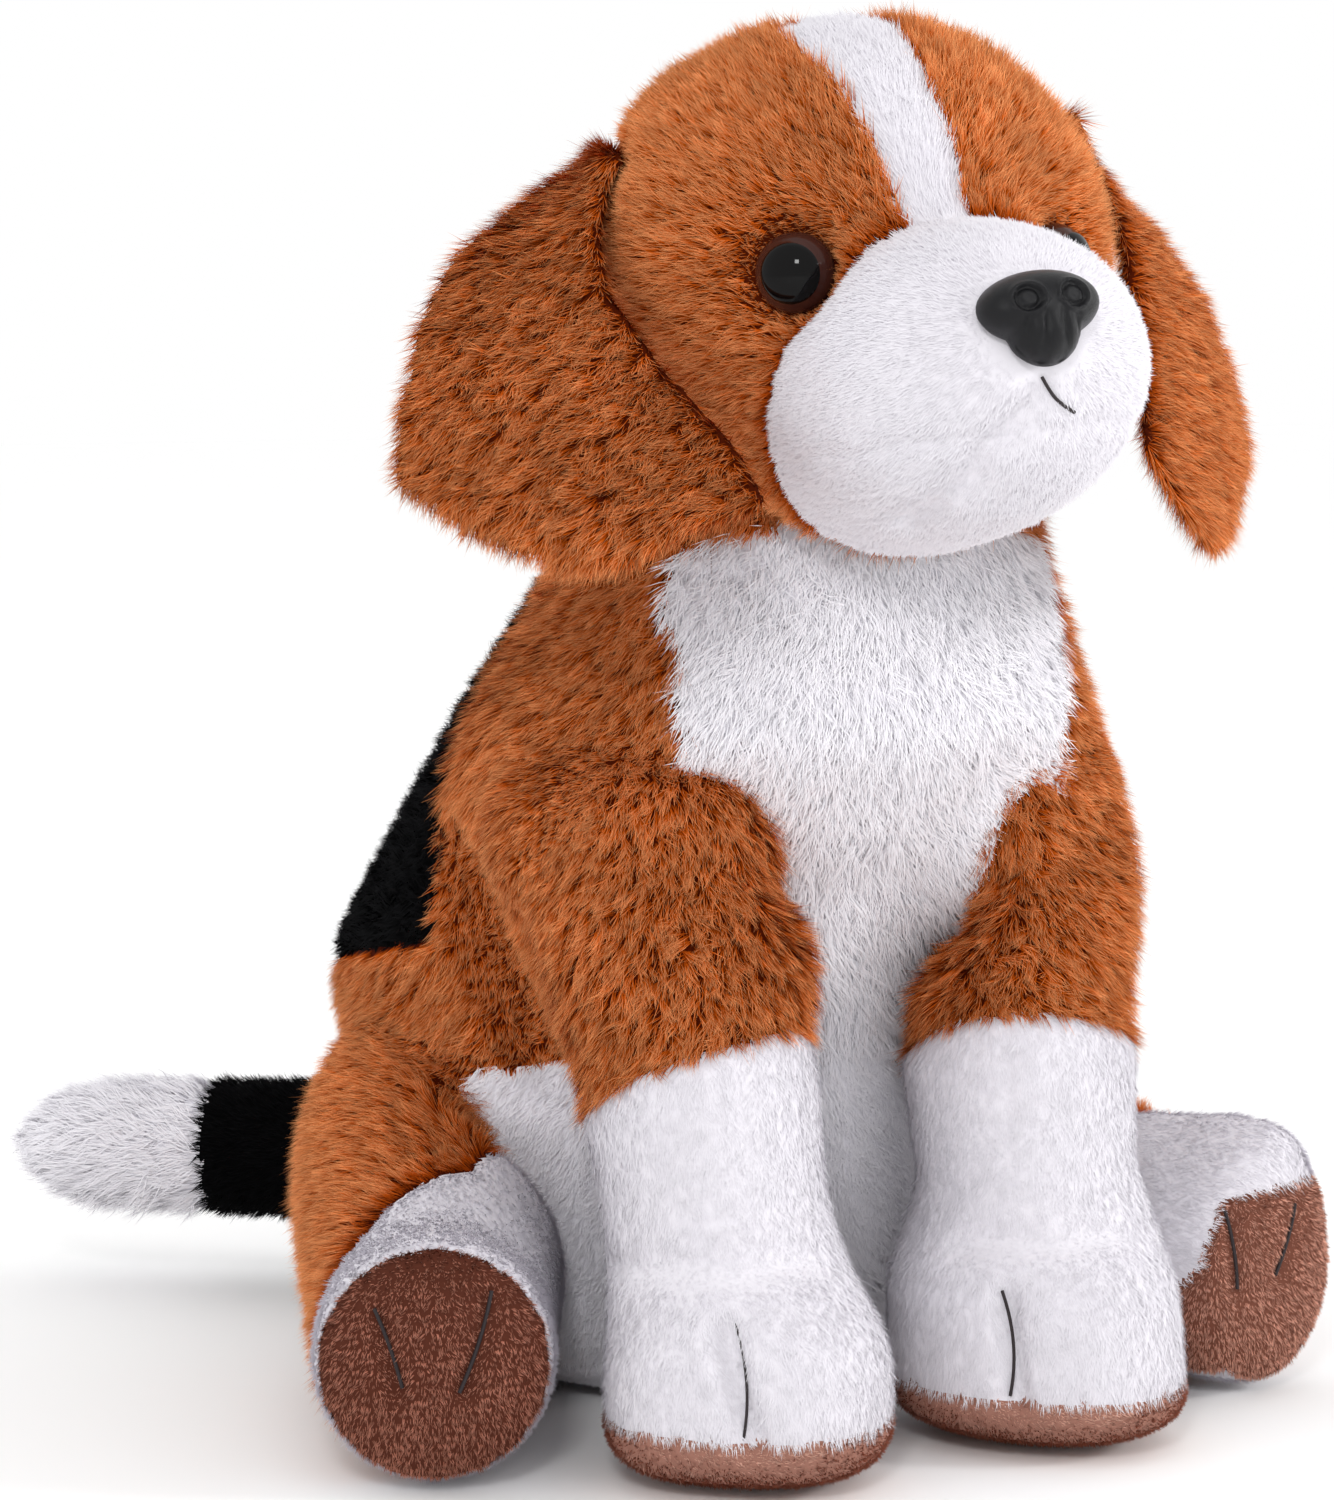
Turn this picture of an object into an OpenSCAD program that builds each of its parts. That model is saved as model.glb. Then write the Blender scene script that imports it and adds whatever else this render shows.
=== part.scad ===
// A sitting stuffed dog with floppy ears. It faces -Y, +Z is up, and the origin lies
// on the floor under the middle of the seat. Sizes are in millimetres, angles in degrees.

/* [Fabric] */
// Thickness of the sewn fabric with its pile
skin = 3; // [2.5:0.5:4]
// Gap between forms that move past each other
gap = 0.4; // [0.3:0.1:0.6]
// Gap round a plastic piece or a thread in the fabric
fit = 0.1; // [0.05:0.05:0.2]
// Depth by which a resting limb is pressed flat on the floor
press = 0.5; // [0.5:0.1:1]
// Radius of the stitching thread
thread_r = 0.9; // [0.6:0.1:1.2]

/* [Body] */
// Width of the body at the seat
seat_w = 110; // [104:1:116]
// Depth of the body at the seat
seat_d = 118; // [112:1:124]
// Depth by which the heavy seat is pressed flat on the floor
seat_press = 6; // [4:1:8]
// Width of the body at the hips
hip_w = 146; // [140:1:152]
// Depth of the body at the hips
hip_d = 160; // [154:1:166]
// Height of the hips
hip_z = 72; // [66:1:78]
// How far the hips sit behind the middle of the seat
hip_back = 14; // [11:1:17]
// Width of the body at the ribs
rib_w = 132; // [126:1:138]
// Depth of the body at the ribs
rib_d = 130; // [124:1:136]
// Height of the ribs
rib_z = 118; // [112:1:124]
// How far the ribs lean forward of the seat
rib_lean = 12; // [9:1:15]
// Width of the body at the shoulders
shoulder_w = 124; // [118:1:130]
// Depth of the body at the shoulders
shoulder_d = 108; // [102:1:114]
// Height of the broad shoulders
shoulders_z = 158; // [154:1:162]
// How far the shoulders lean forward of the seat
shoulders_lean = 46; // [43:1:49]
// Radius of the round neck
neck_r = 45; // [43:1:47]
// Height of the middle of the neck
neck_z = 184; // [180:1:188]
// How far the neck leans forward of the seat
neck_lean = 52; // [49:1:55]
// Radius of the stuffing plug between the body and the head
plug_r = 20; // [16:1:24]
// Height of the seat panel
seat_panel_h = 8; // [6:1:10]
// Half the width of the white chest at its widest
chest_half_w = 43; // [38:1:46]
// How far the white chest starts ahead of the middle of the seat
chest_ahead = 40; // [36:1:44]
// Height of the white belly in front of the hind legs
belly_z = 75; // [71:1:78]
// How far the white belly starts ahead of the middle of the seat
belly_ahead = 12; // [9:1:13]
// Height of the black saddle's lower edge above the hips
saddle_up = 22; // [18:1:26]
// Half the width of the bag of pellets in the seat
bag_half_w = 27; // [22:1:30]
// Half the depth of the bag of pellets
bag_half_d = 35; // [30:1:38]
// Height of the bag of pellets
bag_h = 20; // [16:1:24]

/* [Head] */
// Width of the skull
skull_w = 112; // [108:1:118]
// Height of the skull
skull_h = 108; // [104:1:112]
// Length of the skull
skull_l = 104; // [100:1:110]
// Height of the middle of the skull above the middle of the neck
head_up = 61; // [59:1:64]
// How far the middle of the skull lies ahead of the middle of the neck
head_ahead = 26; // [23:1:29]
// Angle by which the head looks up
look_up = 6; // [2:1:10]
// Angle by which the head leans to its right
head_tilt = 5; // [0:1:8]
// Angle by which the head turns to its right
head_turn = 6; // [0:1:10]
// Width of the muzzle
muzzle_w = 78; // [74:1:82]
// Height of the muzzle
muzzle_h = 66; // [62:1:70]
// How far the muzzle reaches ahead of the middle of the skull
muzzle_l = 89; // [85:1:93]
// How far the middle of the muzzle lies below the middle of the skull
muzzle_drop = 32; // [29:1:35]
// Height of the muzzle above the mouth seam
mouth_z = 42; // [40:1:46]
// Half the width of the white blaze on the forehead
blaze_half_w = 8; // [6:1:10]

/* [Face] */
// Width of an eye
eye_w = 16; // [14:0.5:18]
// Height of the eye's dome
eye_h = 7; // [5:0.5:8]
// Angle between an eye and the middle of the face
eye_side = 36; // [34:1:39]
// Angle of the eyes above the middle of the skull
eye_lift = -4; // [-6:1:0]
// Width of the nose
nose_w = 25; // [22:1:28]
// Height of the nose
nose_h = 20; // [18:1:22]
// Height of the nose's dome
nose_d = 8; // [7:0.5:9]
// Height of the middle of the nose above the middle of the muzzle
nose_lift = 5; // [3:1:8]
// Radius of the stems behind the eyes and the nose
stem_r = 2.5; // [2:0.25:3]
// Length of the stems behind the eyes and the nose
stem_l = 10; // [8:1:12]
// Radius of the washers that hold the stems
washer_r = 7; // [6:0.5:8]
// Thickness of the washers
washer_t = 2; // [1.5:0.5:2.5]
// Distance from the middle of the nose down to the mouth stitch
lip_drop = 12.5; // [12:0.5:14]
// Length of the upright part of the mouth stitch
lip_l = 6; // [4:1:8]
// Length of the mouth stitch to the left
mouth_side = 10; // [8:1:14]

/* [Ears] */
// Thickness of each of an ear's two layers
ear_t = 2.4; // [2:0.2:3]
// Radius of the rolled seam that an ear hangs from
ear_roll_r = 2.6; // [2.2:0.2:3]
// Angle by which the right ear is lifted from the head
ear_lift_right = 0; // [0:1:12]
// Angle by which the left ear is lifted from the head
ear_lift_left = -15; // [-15:1:-8]

/* [Front legs] */
// Distance between the middles of the front paws
fore_gap = 74; // [72:1:78]
// How far the middles of the front legs stand ahead of the ribs
fore_ahead = 10; // [8:1:13]
// Width of a front leg above the paw
fore_w = 50; // [48:1:52]
// Width of a front paw
paw_w = 56; // [52:1:58]
// Length of a front paw
paw_l = 66; // [62:1:70]
// Height of the widest part of a front paw
paw_z = 24; // [22:1:26]
// How far a front paw reaches ahead of its leg
paw_ahead = 13; // [11:1:15]
// Height of a front leg's ankle
ankle_z = 56; // [53:1:59]
// Width of a front leg at the elbow
elbow_w = 56; // [53:1:58]
// Height of a front leg's elbow
elbow_z = 90; // [86:1:94]
// How far the elbow lies behind the middle of the front leg
elbow_back = 8; // [5:1:10]
// How far the shoulder hinges lie behind the middles of the front legs
shoulder_back = 27; // [24:1:30]
// Radius of the round shoulder
shoulder_r = 29; // [27:1:31]
// Height of the shoulder hinges
shoulder_z = 126; // [122:1:130]
// Height of the sleeve's hem at the middle of the leg
sleeve_z = 83; // [78:1:88]
// Height of the brown soles
sole_h = 10; // [8:1:12]
// Height of the lower end of the toe stitch
toe_z = 15; // [14:1:17]
// Length of the toe stitch
toe_l = 20; // [16:1:22]
// Angle of the left toe stitch from the paw's front towards the middle
toe_side_left = 50; // [40:1:55]
// Angle of the right toe stitch from the paw's front towards the middle
toe_side_right = -28; // [-35:1:-20]
// Angle by which a front leg swings forward
fore_swing = 45; // [30:5:50]

/* [Hind legs] */
// Distance of the hip hinges from the middle
hip_x = 57; // [55:1:59]
// How far the hip hinges lie behind the middle of the seat
hip_y = 8; // [5:1:11]
// Radius of the thigh
thigh_r = 45; // [43:1:47]
// Half the width of the thigh
thigh_half_w = 33; // [31:1:35]
// Angle by which a hind leg points outwards
splay = 24; // [22:1:26]
// Length of a hind leg from the hinge to the pad
leg_l = 112; // [108:1:116]
// Width of a hind foot
foot_w = 53; // [50:1:56]
// Distance of the thigh's hem from the pad
hem_back = 34; // [30:1:38]
// How far a pad bulges
pad_bulge = 12; // [9:1:14]
// Depth of a pad's seam behind the middle of the pad
pad_seam = 7.5; // [6:0.5:8.5]
// Distance of a pad's toe stitches from its middle
pad_toe_x = 10; // [8:1:11]
// Length of a pad's toe stitches
pad_toe_l = 16; // [12:1:17]
// Angle by which a hind leg lifts
hind_lift = 20; // [10:5:25]

/* [Tail] */
// Width of the tail
tail_w = 37; // [34:1:40]
// Length of the tail
tail_l = 130; // [120:1:140]
// Length of the tail's white tip
tail_tip_l = 50; // [40:1:60]
// Width of the tail near its tip
tail_tip_w = 33; // [30:1:36]
// Length of the tail before it narrows
tail_even_l = 78; // [70:1:86]
// Height of the middle of the tail
tail_z = 34; // [32:1:37]
// Angle by which the tail lies to the right
tail_side = 55; // [45:1:60]
// Angle by which the tail swings over to the left
tail_swing = 110; // [90:5:110]

/* [Hidden] */
$fn = 32;

// Longer than the whole toy, for cutting blocks
far = 400;
// Facets round the balls of the sewn joints
ball_fn = 16;
// Enlarges a faceted hollow until its faces lie outside its radius
snug = 1 / cos(180 / ball_fn) ^ 2;
// Share of a limb's travel between the places where it clears the body
sweep_step = 0.25;
// Facets of each form: points round a ring, rings in each round end, rings between them
torso_detail = [20, 3, 4];
torso_inside_detail = [12, 3, 4];
bag_detail = [12, 2, 0];
skull_detail = [20, 4, 0];
skull_inside_detail = [12, 4, 0];
muzzle_detail = [16, 4, 1];
muzzle_inside_detail = [10, 4, 1];
limb_detail = [16, 3, 4];
limb_inside_detail = [8, 3, 4];
tail_detail = [12, 3, 1];
tail_inside_detail = [8, 2, 1];

brown = "#a85a2c";
white = "#efecf2";
black = "#17171a";
tan = "#96604e";
stuffing = "#f4f1ea";

// Slope of a smooth curve between two neighbouring straight slopes
function slope(p, q) = p * q <= 0 ? 0 : 2 * p * q / (p + q);

// Value j at x of a smooth curve through keys [place, values], in the span after key i
function value_at(keys, x, i, j) =
    let (
        b = keys[i],
        c = keys[i + 1],
        w = c[0] - b[0],
        t = (x - b[0]) / w,
        here = (c[1][j] - b[1][j]) / w,
        before = i == 0 ? here : (b[1][j] - keys[i - 1][1][j]) / (b[0] - keys[i - 1][0]),
        last = i == len(keys) - 2,
        after = last ? here : (keys[i + 2][1][j] - c[1][j]) / (keys[i + 2][0] - c[0])
    )
    b[1][j] * (2 * t ^ 3 - 3 * t ^ 2 + 1) + slope(before, here) * w * (t ^ 3 - 2 * t ^ 2 + t)
    + c[1][j] * (3 * t ^ 2 - 2 * t ^ 3) + slope(here, after) * w * (t ^ 3 - t ^ 2);

// All values of the curve at x, held at its first and last key beyond them
function along(keys, x, i = 0) =
    i < len(keys) - 2 && x > keys[i + 1][0] ? along(keys, x, i + 1) :
    let (held = min(max(x, keys[0][0]), keys[len(keys) - 1][0]))
    [for (j = [0 : len(keys[0][1]) - 1]) value_at(keys, held, i, j)];

// Places of the rings from one end to the other, close together in the round ends
function ring_places(a, b, round_a, round_b, ends, middle) = concat(
    [for (i = [1 : ends]) a + round_a * (1 - cos(90 * i / ends))],
    [for (i = [1 : middle]) a + round_a + (b - a - round_a - round_b) * i / (middle + 1)],
    [for (i = [ends : -1 : 1]) b - round_b * (1 - cos(90 * i / ends))]
);

// How much a round end draws in a ring at this place
function draw_in(z, a, b, round_a, round_b) =
    z < a + round_a ? sqrt(max(0, 1 - ((a + round_a - z) / round_a) ^ 2)) :
    z > b - round_b ? sqrt(max(0, 1 - ((z - b + round_b) / round_b) ^ 2)) : 1;

// Distance of a round end's face from its tip plane, at this share of the ring's half size
function end_depth(round_b, share) = round_b * (1 - sqrt(1 - share ^ 2));

// Triangles between two rings of this many points, the first starting at point p
function band(p, sides) = [for (i = [0 : sides - 1])
    let (q = p + sides, j = (i + 1) % sides)
    each [[p + i, q + i, q + j], [p + i, q + j, p + j]]];

// A stuffed form along Z. A key is [z, [middle x, middle y, half x, half y in front, half y behind]].
module stuffed(keys, rounds, grow, detail) {
    sides = detail[0];
    a = keys[0][0] - grow;
    b = keys[len(keys) - 1][0] + grow;
    ra = rounds[0] + grow;
    rb = rounds[1] + grow;
    places = ring_places(a, b, ra, rb, detail[1], detail[2]);
    rings = [for (z = places)
        let (v = along(keys, z), s = draw_in(z, a, b, ra, rb))
        each [for (i = [0 : sides - 1])
            let (t = 360 * i / sides, half_y = grow + (sin(t) < 0 ? v[3] : v[4]))
            [v[0] + s * (v[2] + grow) * cos(t), v[1] + s * half_y * sin(t), z]]];
    first = along(keys, a);
    last = along(keys, b);
    top = len(rings) + 1;
    faces = concat(
        [for (i = [0 : sides - 1]) [0, 1 + i, 1 + (i + 1) % sides]],
        [for (k = [0 : len(places) - 2]) each band(1 + k * sides, sides)],
        [for (i = [0 : sides - 1]) [top, top - sides + (i + 1) % sides, top - sides + i]]
    );
    polyhedron(concat([[first[0], first[1], a]], rings, [[last[0], last[1], b]]), faces);
}

// A sewn piece is one faceted form, pressed flat where it rests on the floor
module sewn() resize([0, 0, 0]) difference() {
    children();
    translate([-far, -far, -far]) cube([2 * far, 2 * far, far]);
}

// Height of the middle of a stitch above the fabric that it lies on
thread_up = thread_r + 3 * fit;

// A stitch along a line of points
module stitch(points, r) for (i = [1 : len(points) - 1]) hull() {
    translate(points[i - 1]) sphere(r, $fn = 8);
    translate(points[i]) sphere(r, $fn = 8);
}

// Body

torso_keys = [
    [-seat_press, [0, 0, seat_w / 2, seat_d / 2, seat_d / 2]],
    [hip_z, [0, hip_back, hip_w / 2, hip_d / 2, hip_d / 2]],
    [rib_z, [0, -rib_lean, rib_w / 2, rib_d / 2, rib_d / 2]],
    [shoulders_z, [0, -shoulders_lean, shoulder_w / 2, shoulder_d / 2, shoulder_d / 2]],
    [neck_z, [0, -neck_lean, neck_r, neck_r, neck_r]],
    [neck_z + neck_r, [0, -neck_lean, neck_r, neck_r, neck_r]]
];
seat_round = 18;
neck = [0, -neck_lean, neck_z];
fore_y = -(rib_lean + rib_d / 2 + fore_ahead);
shoulder_out = 4;
shoulder = [fore_gap / 2 + shoulder_out, fore_y + shoulder_back, shoulder_z];
hip = [hip_x, hip_y, thigh_r];
tail_back = along(torso_keys, tail_z);
tail_root = [0, tail_back[1] + tail_back[4] - tail_w / 6, tail_z];

module torso(grow) stuffed(torso_keys, [seat_round, neck_r], grow, torso_detail);

module torso_inside() difference() {
    stuffed(torso_keys, [seat_round, neck_r], -skin, torso_inside_detail);
    translate([-far, -far, skin - far]) cube([2 * far, 2 * far, far]);
}

module both_sides() {
    children();
    mirror([1, 0, 0]) children();
}

// The body as a limb meets it while it turns about this point and axis
module torso_swept(at, axis, angle) for (share = [0 : sweep_step : 1])
    translate(at) rotate(-share * angle, axis) translate(-at) torso(gap);

// Balls that the limbs turn on, each a little inside the hollow that holds it

module shoulder_ball(r) translate(shoulder) sphere(r, $fn = ball_fn);

module hip_ball(r, half_w) translate(hip) rotate(splay) scale([half_w / r, 1, 1]) sphere(r, $fn = ball_fn);

module tail_ball(r) translate(tail_root) sphere(r, $fn = ball_fn);

// Hollows in the body for the limbs, the tail and the neck plug
module torso_hollows() {
    both_sides() {
        shoulder_ball((shoulder_r + gap) * snug);
        hip_ball((thigh_r + gap) * snug, (thigh_half_w + gap) * snug);
    }
    tail_ball((tail_w / 2 + gap) * snug);
    translate(neck - [0, 0, plug_r + gap]) cylinder(h = far, r = (plug_r + gap) * snug, $fn = ball_fn);
}

// Half width of the white chest at heights from the neck down to the gap between the front legs
chest_outline = [
    [16, neck_z + 4], [36, neck_z - 6],
    [chest_half_w, shoulders_z + 2], [chest_half_w, shoulders_z - 15],
    [32, shoulder_z + 4], [22, shoulder_z - 9], [13, shoulder_z - 24], [9, elbow_z - 4], [9, 0]
];

// The white front: the chest, and the belly that is as wide as the body
module chest_block() {
    translate([0, -chest_ahead, 0]) rotate([90, 0, 0]) linear_extrude(far)
        for (side = [0, 1]) mirror([side, 0])
            polygon(concat([[0, 0], [0, far], [chest_outline[0][0], far]], chest_outline));
    translate([-far, -far - belly_ahead, -far]) cube([2 * far, far, far + belly_z]);
}

// Edge of the black saddle as seen from the side, from the withers down and back to the tail
module saddle_block() rotate([90, 0, 90]) linear_extrude(2 * far, center = true) polygon([
    [-28, neck_z - 8], [-26, shoulders_z + 2], [-19, shoulder_z + 4], [-18, shoulder_z - 22],
    [40, hip_z + saddle_up], [far, hip_z + saddle_up - 12], [far, neck_z - 8]
]);

module seat_block() translate([-far, -far, -far]) cube([2 * far, 2 * far, far + seat_panel_h]);

module left_block() translate([0, -far, -far]) cube([far, 2 * far, 2 * far]);

module torso_skin() difference() {
    torso(0);
    torso_inside();
    torso_hollows();
}

module body_fill() color(stuffing) sewn() difference() {
    torso_inside();
    torso_hollows();
    pellets();
}

module pellets() stuffed([
    [skin - press, [0, 0, bag_half_w, bag_half_d, bag_half_d]],
    [skin - press + bag_h, [0, 0, bag_half_w, bag_half_d, bag_half_d]]
], [bag_h / 2, bag_h / 2], 0, bag_detail);

module bean_bag() color("#d8d2c4") sewn() intersection() {
    pellets();
    torso_inside();
}

module back_saddle() color(black) sewn() difference() {
    intersection() {
        torso_skin();
        saddle_block();
    }
    chest_block();
    seat_block();
}

module flanks() difference() {
    torso_skin();
    saddle_block();
    chest_block();
    seat_block();
}

module flank_left() color(brown) sewn() intersection() {
    flanks();
    left_block();
}

module flank_right() color(brown) sewn() difference() {
    flanks();
    left_block();
}

module chest_panel() color(white) sewn() difference() {
    intersection() {
        torso_skin();
        chest_block();
    }
    seat_block();
}

module seat_panel() color(white) sewn() intersection() {
    torso_skin();
    seat_block();
}

module neck_plug() color(stuffing) translate(neck) intersection() {
    sphere(neck_r);
    translate([0, 0, -plug_r]) cylinder(h = far, r = plug_r);
}

// Head, in its own frame: the middle of the skull is the origin and it faces -Y

module in_head() translate(neck + [0, -head_ahead, head_up])
    rotate([-look_up, -head_tilt, -head_turn]) children();

skull_half = [skull_w / 2, skull_h / 2, skull_h / 2];
skull_keys = [
    [-skull_l / 2, concat([0, 0], skull_half)],
    [skull_l / 2, concat([0, 0], skull_half)]
];
muzzle_half = [muzzle_w / 2, muzzle_h / 2, muzzle_h / 2];
muzzle_rise = 7;
muzzle_keys = [
    [0, concat([0, -muzzle_drop], muzzle_half)],
    [muzzle_l, concat([0, muzzle_rise - muzzle_drop], muzzle_half)]
];
muzzle_round = 42;
muzzle_back_round = 8;

module skull(grow) rotate([90, 0, 0])
    stuffed(skull_keys, [skull_l / 2, skull_l / 2], grow, skull_detail);

module muzzle_form(grow) rotate([90, 0, 0])
    stuffed(muzzle_keys, [muzzle_back_round, muzzle_round], grow, muzzle_detail);

module head_inside() rotate([90, 0, 0]) {
    stuffed(skull_keys, [skull_l / 2, skull_l / 2], -skin, skull_inside_detail);
    stuffed(muzzle_keys, [muzzle_back_round, muzzle_round], -skin, muzzle_inside_detail);
}

// Point on the muzzle's round front at this x and z
function muzzle_face(x, z) =
    let (middle = muzzle_rise - muzzle_drop)
    [x, end_depth(muzzle_round, norm([2 * x / muzzle_w, 2 * (z - middle) / muzzle_h])) - muzzle_l, z];

// Point on the skull in the direction of these angles
function skull_point(side, lift) =
    let (d = [sin(side) * cos(lift), -cos(side) * cos(lift), sin(lift)])
    d / norm([2 * d[0] / skull_w, 2 * d[1] / skull_l, 2 * d[2] / skull_h]);

// Distance of the skull's side from the middle at this y and z
function skull_side(y, z) = skull_w / 2 * sqrt(1 - (2 * y / skull_l) ^ 2 - (2 * z / skull_h) ^ 2);

eye_sink = 1.5;
eye_place = skull_point(eye_side, eye_lift);
nose_place = muzzle_face(0, nose_lift - muzzle_drop + muzzle_rise);
nose_sink = 2.5;
nose_tip_up = 12;

module at_eye(side) mirror([side, 0, 0]) translate(eye_place) rotate(eye_side)
    rotate([90 - eye_lift, 0, 0]) translate([0, 0, -eye_sink]) children();

module at_nose() translate(nose_place) rotate([90 - nose_tip_up, 0, 0])
    translate([0, 0, -nose_sink]) children();

module stem(r) translate([0, 0, -stem_l]) cylinder(h = stem_l, r = r);

module washer_ring(depth) translate([0, 0, -depth - washer_t]) difference() {
    cylinder(h = washer_t, r = washer_r);
    translate([0, 0, -washer_t]) cylinder(h = 3 * washer_t, r = stem_r);
}

module washer_hole(depth) translate([0, 0, -depth - washer_t - fit])
    cylinder(h = washer_t + 2 * fit, r = (washer_r + fit) * snug, $fn = ball_fn);

// The washers press the fabric against the backs of the eyes and the nose
eye_washer_depth = skin;
nose_washer_depth = skin;

module eye() {
    intersection() {
        scale([1, 1, 2 * eye_h / eye_w]) sphere(eye_w / 2);
        cylinder(h = far, r = eye_w);
    }
    stem(stem_r);
}

// Front half of a ball, with its flat back a little behind the middle
module half_ball(r, behind) difference() {
    sphere(r, $fn = 16);
    translate([-far, -far, -2 * far - behind]) cube(2 * far);
}

// The nose is wide at its top and narrow at its lip
module nose_form(grow) hull() {
    for (side = [-1, 1]) translate([side * nose_w / 4, nose_h / 4, 0])
        scale([1, nose_h / nose_w, 4 * nose_d / nose_w]) half_ball(nose_w / 4 + grow, grow);
    translate([0, -nose_h / 4, 0]) half_ball(nose_h / 4 + grow, grow);
}

// Room in the fabric and the stuffing for the eyes, the nose and their washers
module face_holes() {
    for (side = [0, 1]) at_eye(side) {
        translate([0, 0, -fit]) cylinder(h = far, r = (eye_w / 2 + fit) * snug, $fn = ball_fn);
        stem((stem_r + fit) * snug, $fn = ball_fn);
    }
    at_nose() {
        nose_form(fit);
        stem((stem_r + fit) * snug, $fn = ball_fn);
    }
    washer_holes();
}

module washer_holes() {
    for (side = [0, 1]) at_eye(side) washer_hole(eye_washer_depth);
    at_nose() washer_hole(nose_washer_depth);
}

lip_z = nose_place[2] - lip_drop;
// Direction out of the fabric at the mouth
lip_out = [0, -cos(40), -sin(40)] * thread_up;

module mouth_thread() stitch([
    muzzle_face(0, lip_z) + lip_out,
    muzzle_face(0, lip_z - lip_l) + lip_out,
    muzzle_face(mouth_side / 2, lip_z - lip_l - 3) + lip_out,
    muzzle_face(mouth_side, lip_z - lip_l - 4) + lip_out
], thread_r);

// The head's socket for the round neck is cut in the body's frame, its facets laid to the front
module on_neck() difference() {
    in_head() children();
    translate(neck) rotate([90, 0, 0]) sphere((neck_r + gap) * snug, $fn = ball_fn);
}

module blaze_block() rotate([90, 0, 0]) translate([0, 0, -10]) linear_extrude(far) polygon([
    [-blaze_half_w, far], [-blaze_half_w, 24], [-blaze_half_w - 4, 6], [-blaze_half_w - 16, -8],
    [blaze_half_w + 16, -8], [blaze_half_w + 4, 6], [blaze_half_w, 24], [blaze_half_w, far]
]);

module chin_block() translate([-far, -far, -far - muzzle_drop + muzzle_h / 2 - mouth_z])
    cube([2 * far, 2 * far, far]);

module skull_skin() difference() {
    skull(0);
    head_inside();
    muzzle_form(0);
    face_holes();
    both_sides() ear_groove();
}

module muzzle_skin() difference() {
    muzzle_form(0);
    head_inside();
    face_holes();
}

module head_fill() color(stuffing) sewn() on_neck() difference() {
    head_inside();
    face_holes();
    both_sides() ear_groove();
}

module head_side() difference() {
    skull_skin();
    blaze_block();
}

module head_side_left() color(brown) sewn() on_neck() intersection() {
    head_side();
    left_block();
}

module head_side_right() color(brown) sewn() on_neck() difference() {
    head_side();
    left_block();
}

module blaze() color(white) sewn() on_neck() intersection() {
    skull_skin();
    blaze_block();
}

module muzzle() color(white) sewn() on_neck() difference() {
    muzzle_skin();
    chin_block();
}

module chin() color(white) sewn() on_neck() intersection() {
    muzzle_skin();
    chin_block();
}

module eye_left() color("#0d0a09") in_head() at_eye(0) eye();

module eye_right() color("#0d0a09") in_head() at_eye(1) eye();

module eye_washer_left() color(white) in_head() at_eye(0) washer_ring(eye_washer_depth);

module eye_washer_right() color(white) in_head() at_eye(1) washer_ring(eye_washer_depth);

module nose() color("#1b1c1f") in_head() at_nose() {
    nose_form(0);
    stem(stem_r);
}

module nose_washer() color(white) in_head() at_nose() washer_ring(nose_washer_depth);

module mouth_stitch() color(black) sewn() in_head() mouth_thread();

// Ears, shaped for the left side of the head

ear_front = [-6, 24];
ear_back = [22, 28];
ear_root_front = [skull_side(ear_front[0], ear_front[1]) + 1, ear_front[0], ear_front[1]];
ear_root_back = [skull_side(ear_back[0], ear_back[1]) + 1, ear_back[0], ear_back[1]];
ear_axis = ear_root_back - ear_root_front;
front_edge = [
    [0, ear_root_front], [0.36, [60, -16, -5]], [0.7, [58, -36, -32]], [1, [54, -52, -51]]
];
back_edge = [
    [0, ear_root_back], [0.36, [78, 12, 8]], [0.62, [97, 5, -16]], [0.84, [103, 0, -35]], [1, [95, -9, -51]]
];
ear_bow = [5, -5, 0];
ear_hem = [-2, -2, -15];
// Turn of the rolled seam's facets about its length
roll_turn = 5;
ear_rows = 6;
ear_columns = 6;

// Point between an ear's layers, s from root to hem and t from front to back
function ear_point(s, t) =
    along(front_edge, s) * (1 - t) + along(back_edge, s) * t
    + (ear_bow * s + ear_hem * s ^ 2) * sin(180 * t);

// Direction across the ear, away from the head
function ear_out(s, t) =
    let (
        d = 0.01,
        down = ear_point(min(s + d, 1), t) - ear_point(max(s - d, 0), t),
        back = ear_point(s, min(t + d, 1)) - ear_point(s, max(t - d, 0)),
        n = cross(back, down)
    )
    n / norm(n);

// An ear thins towards its rim
function ear_share(s, t) = 0.35 + 0.65 * (1 - (2 * t - 1) ^ 6) * (1 - s ^ 8);

function ear_grid(side) = [for (i = [0 : ear_rows], j = [0 : ear_columns])
    let (s = i / ear_rows, t = j / ear_columns)
    ear_point(s, t) + side * ear_t * ear_share(s, t) * ear_out(s, t)];

// Two triangles for each cell of a grid whose first point is number p
function cells(p, flip) = [for (i = [0 : ear_rows - 1], j = [0 : ear_columns - 1])
    let (
        a = p + i * (ear_columns + 1) + j,
        b = a + 1,
        c = a + ear_columns + 1,
        d = c + 1
    )
    each flip ? [[a, c, b], [b, c, d]] : [[a, b, c], [b, d, c]]];

// Rim of a grid as a closed line of point numbers
ear_rim = concat(
    [for (j = [0 : ear_columns - 1]) j],
    [for (i = [0 : ear_rows - 1]) i * (ear_columns + 1) + ear_columns],
    [for (j = [ear_columns : -1 : 1]) ear_rows * (ear_columns + 1) + j],
    [for (i = [ear_rows : -1 : 1]) i * (ear_columns + 1)]
);

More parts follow.
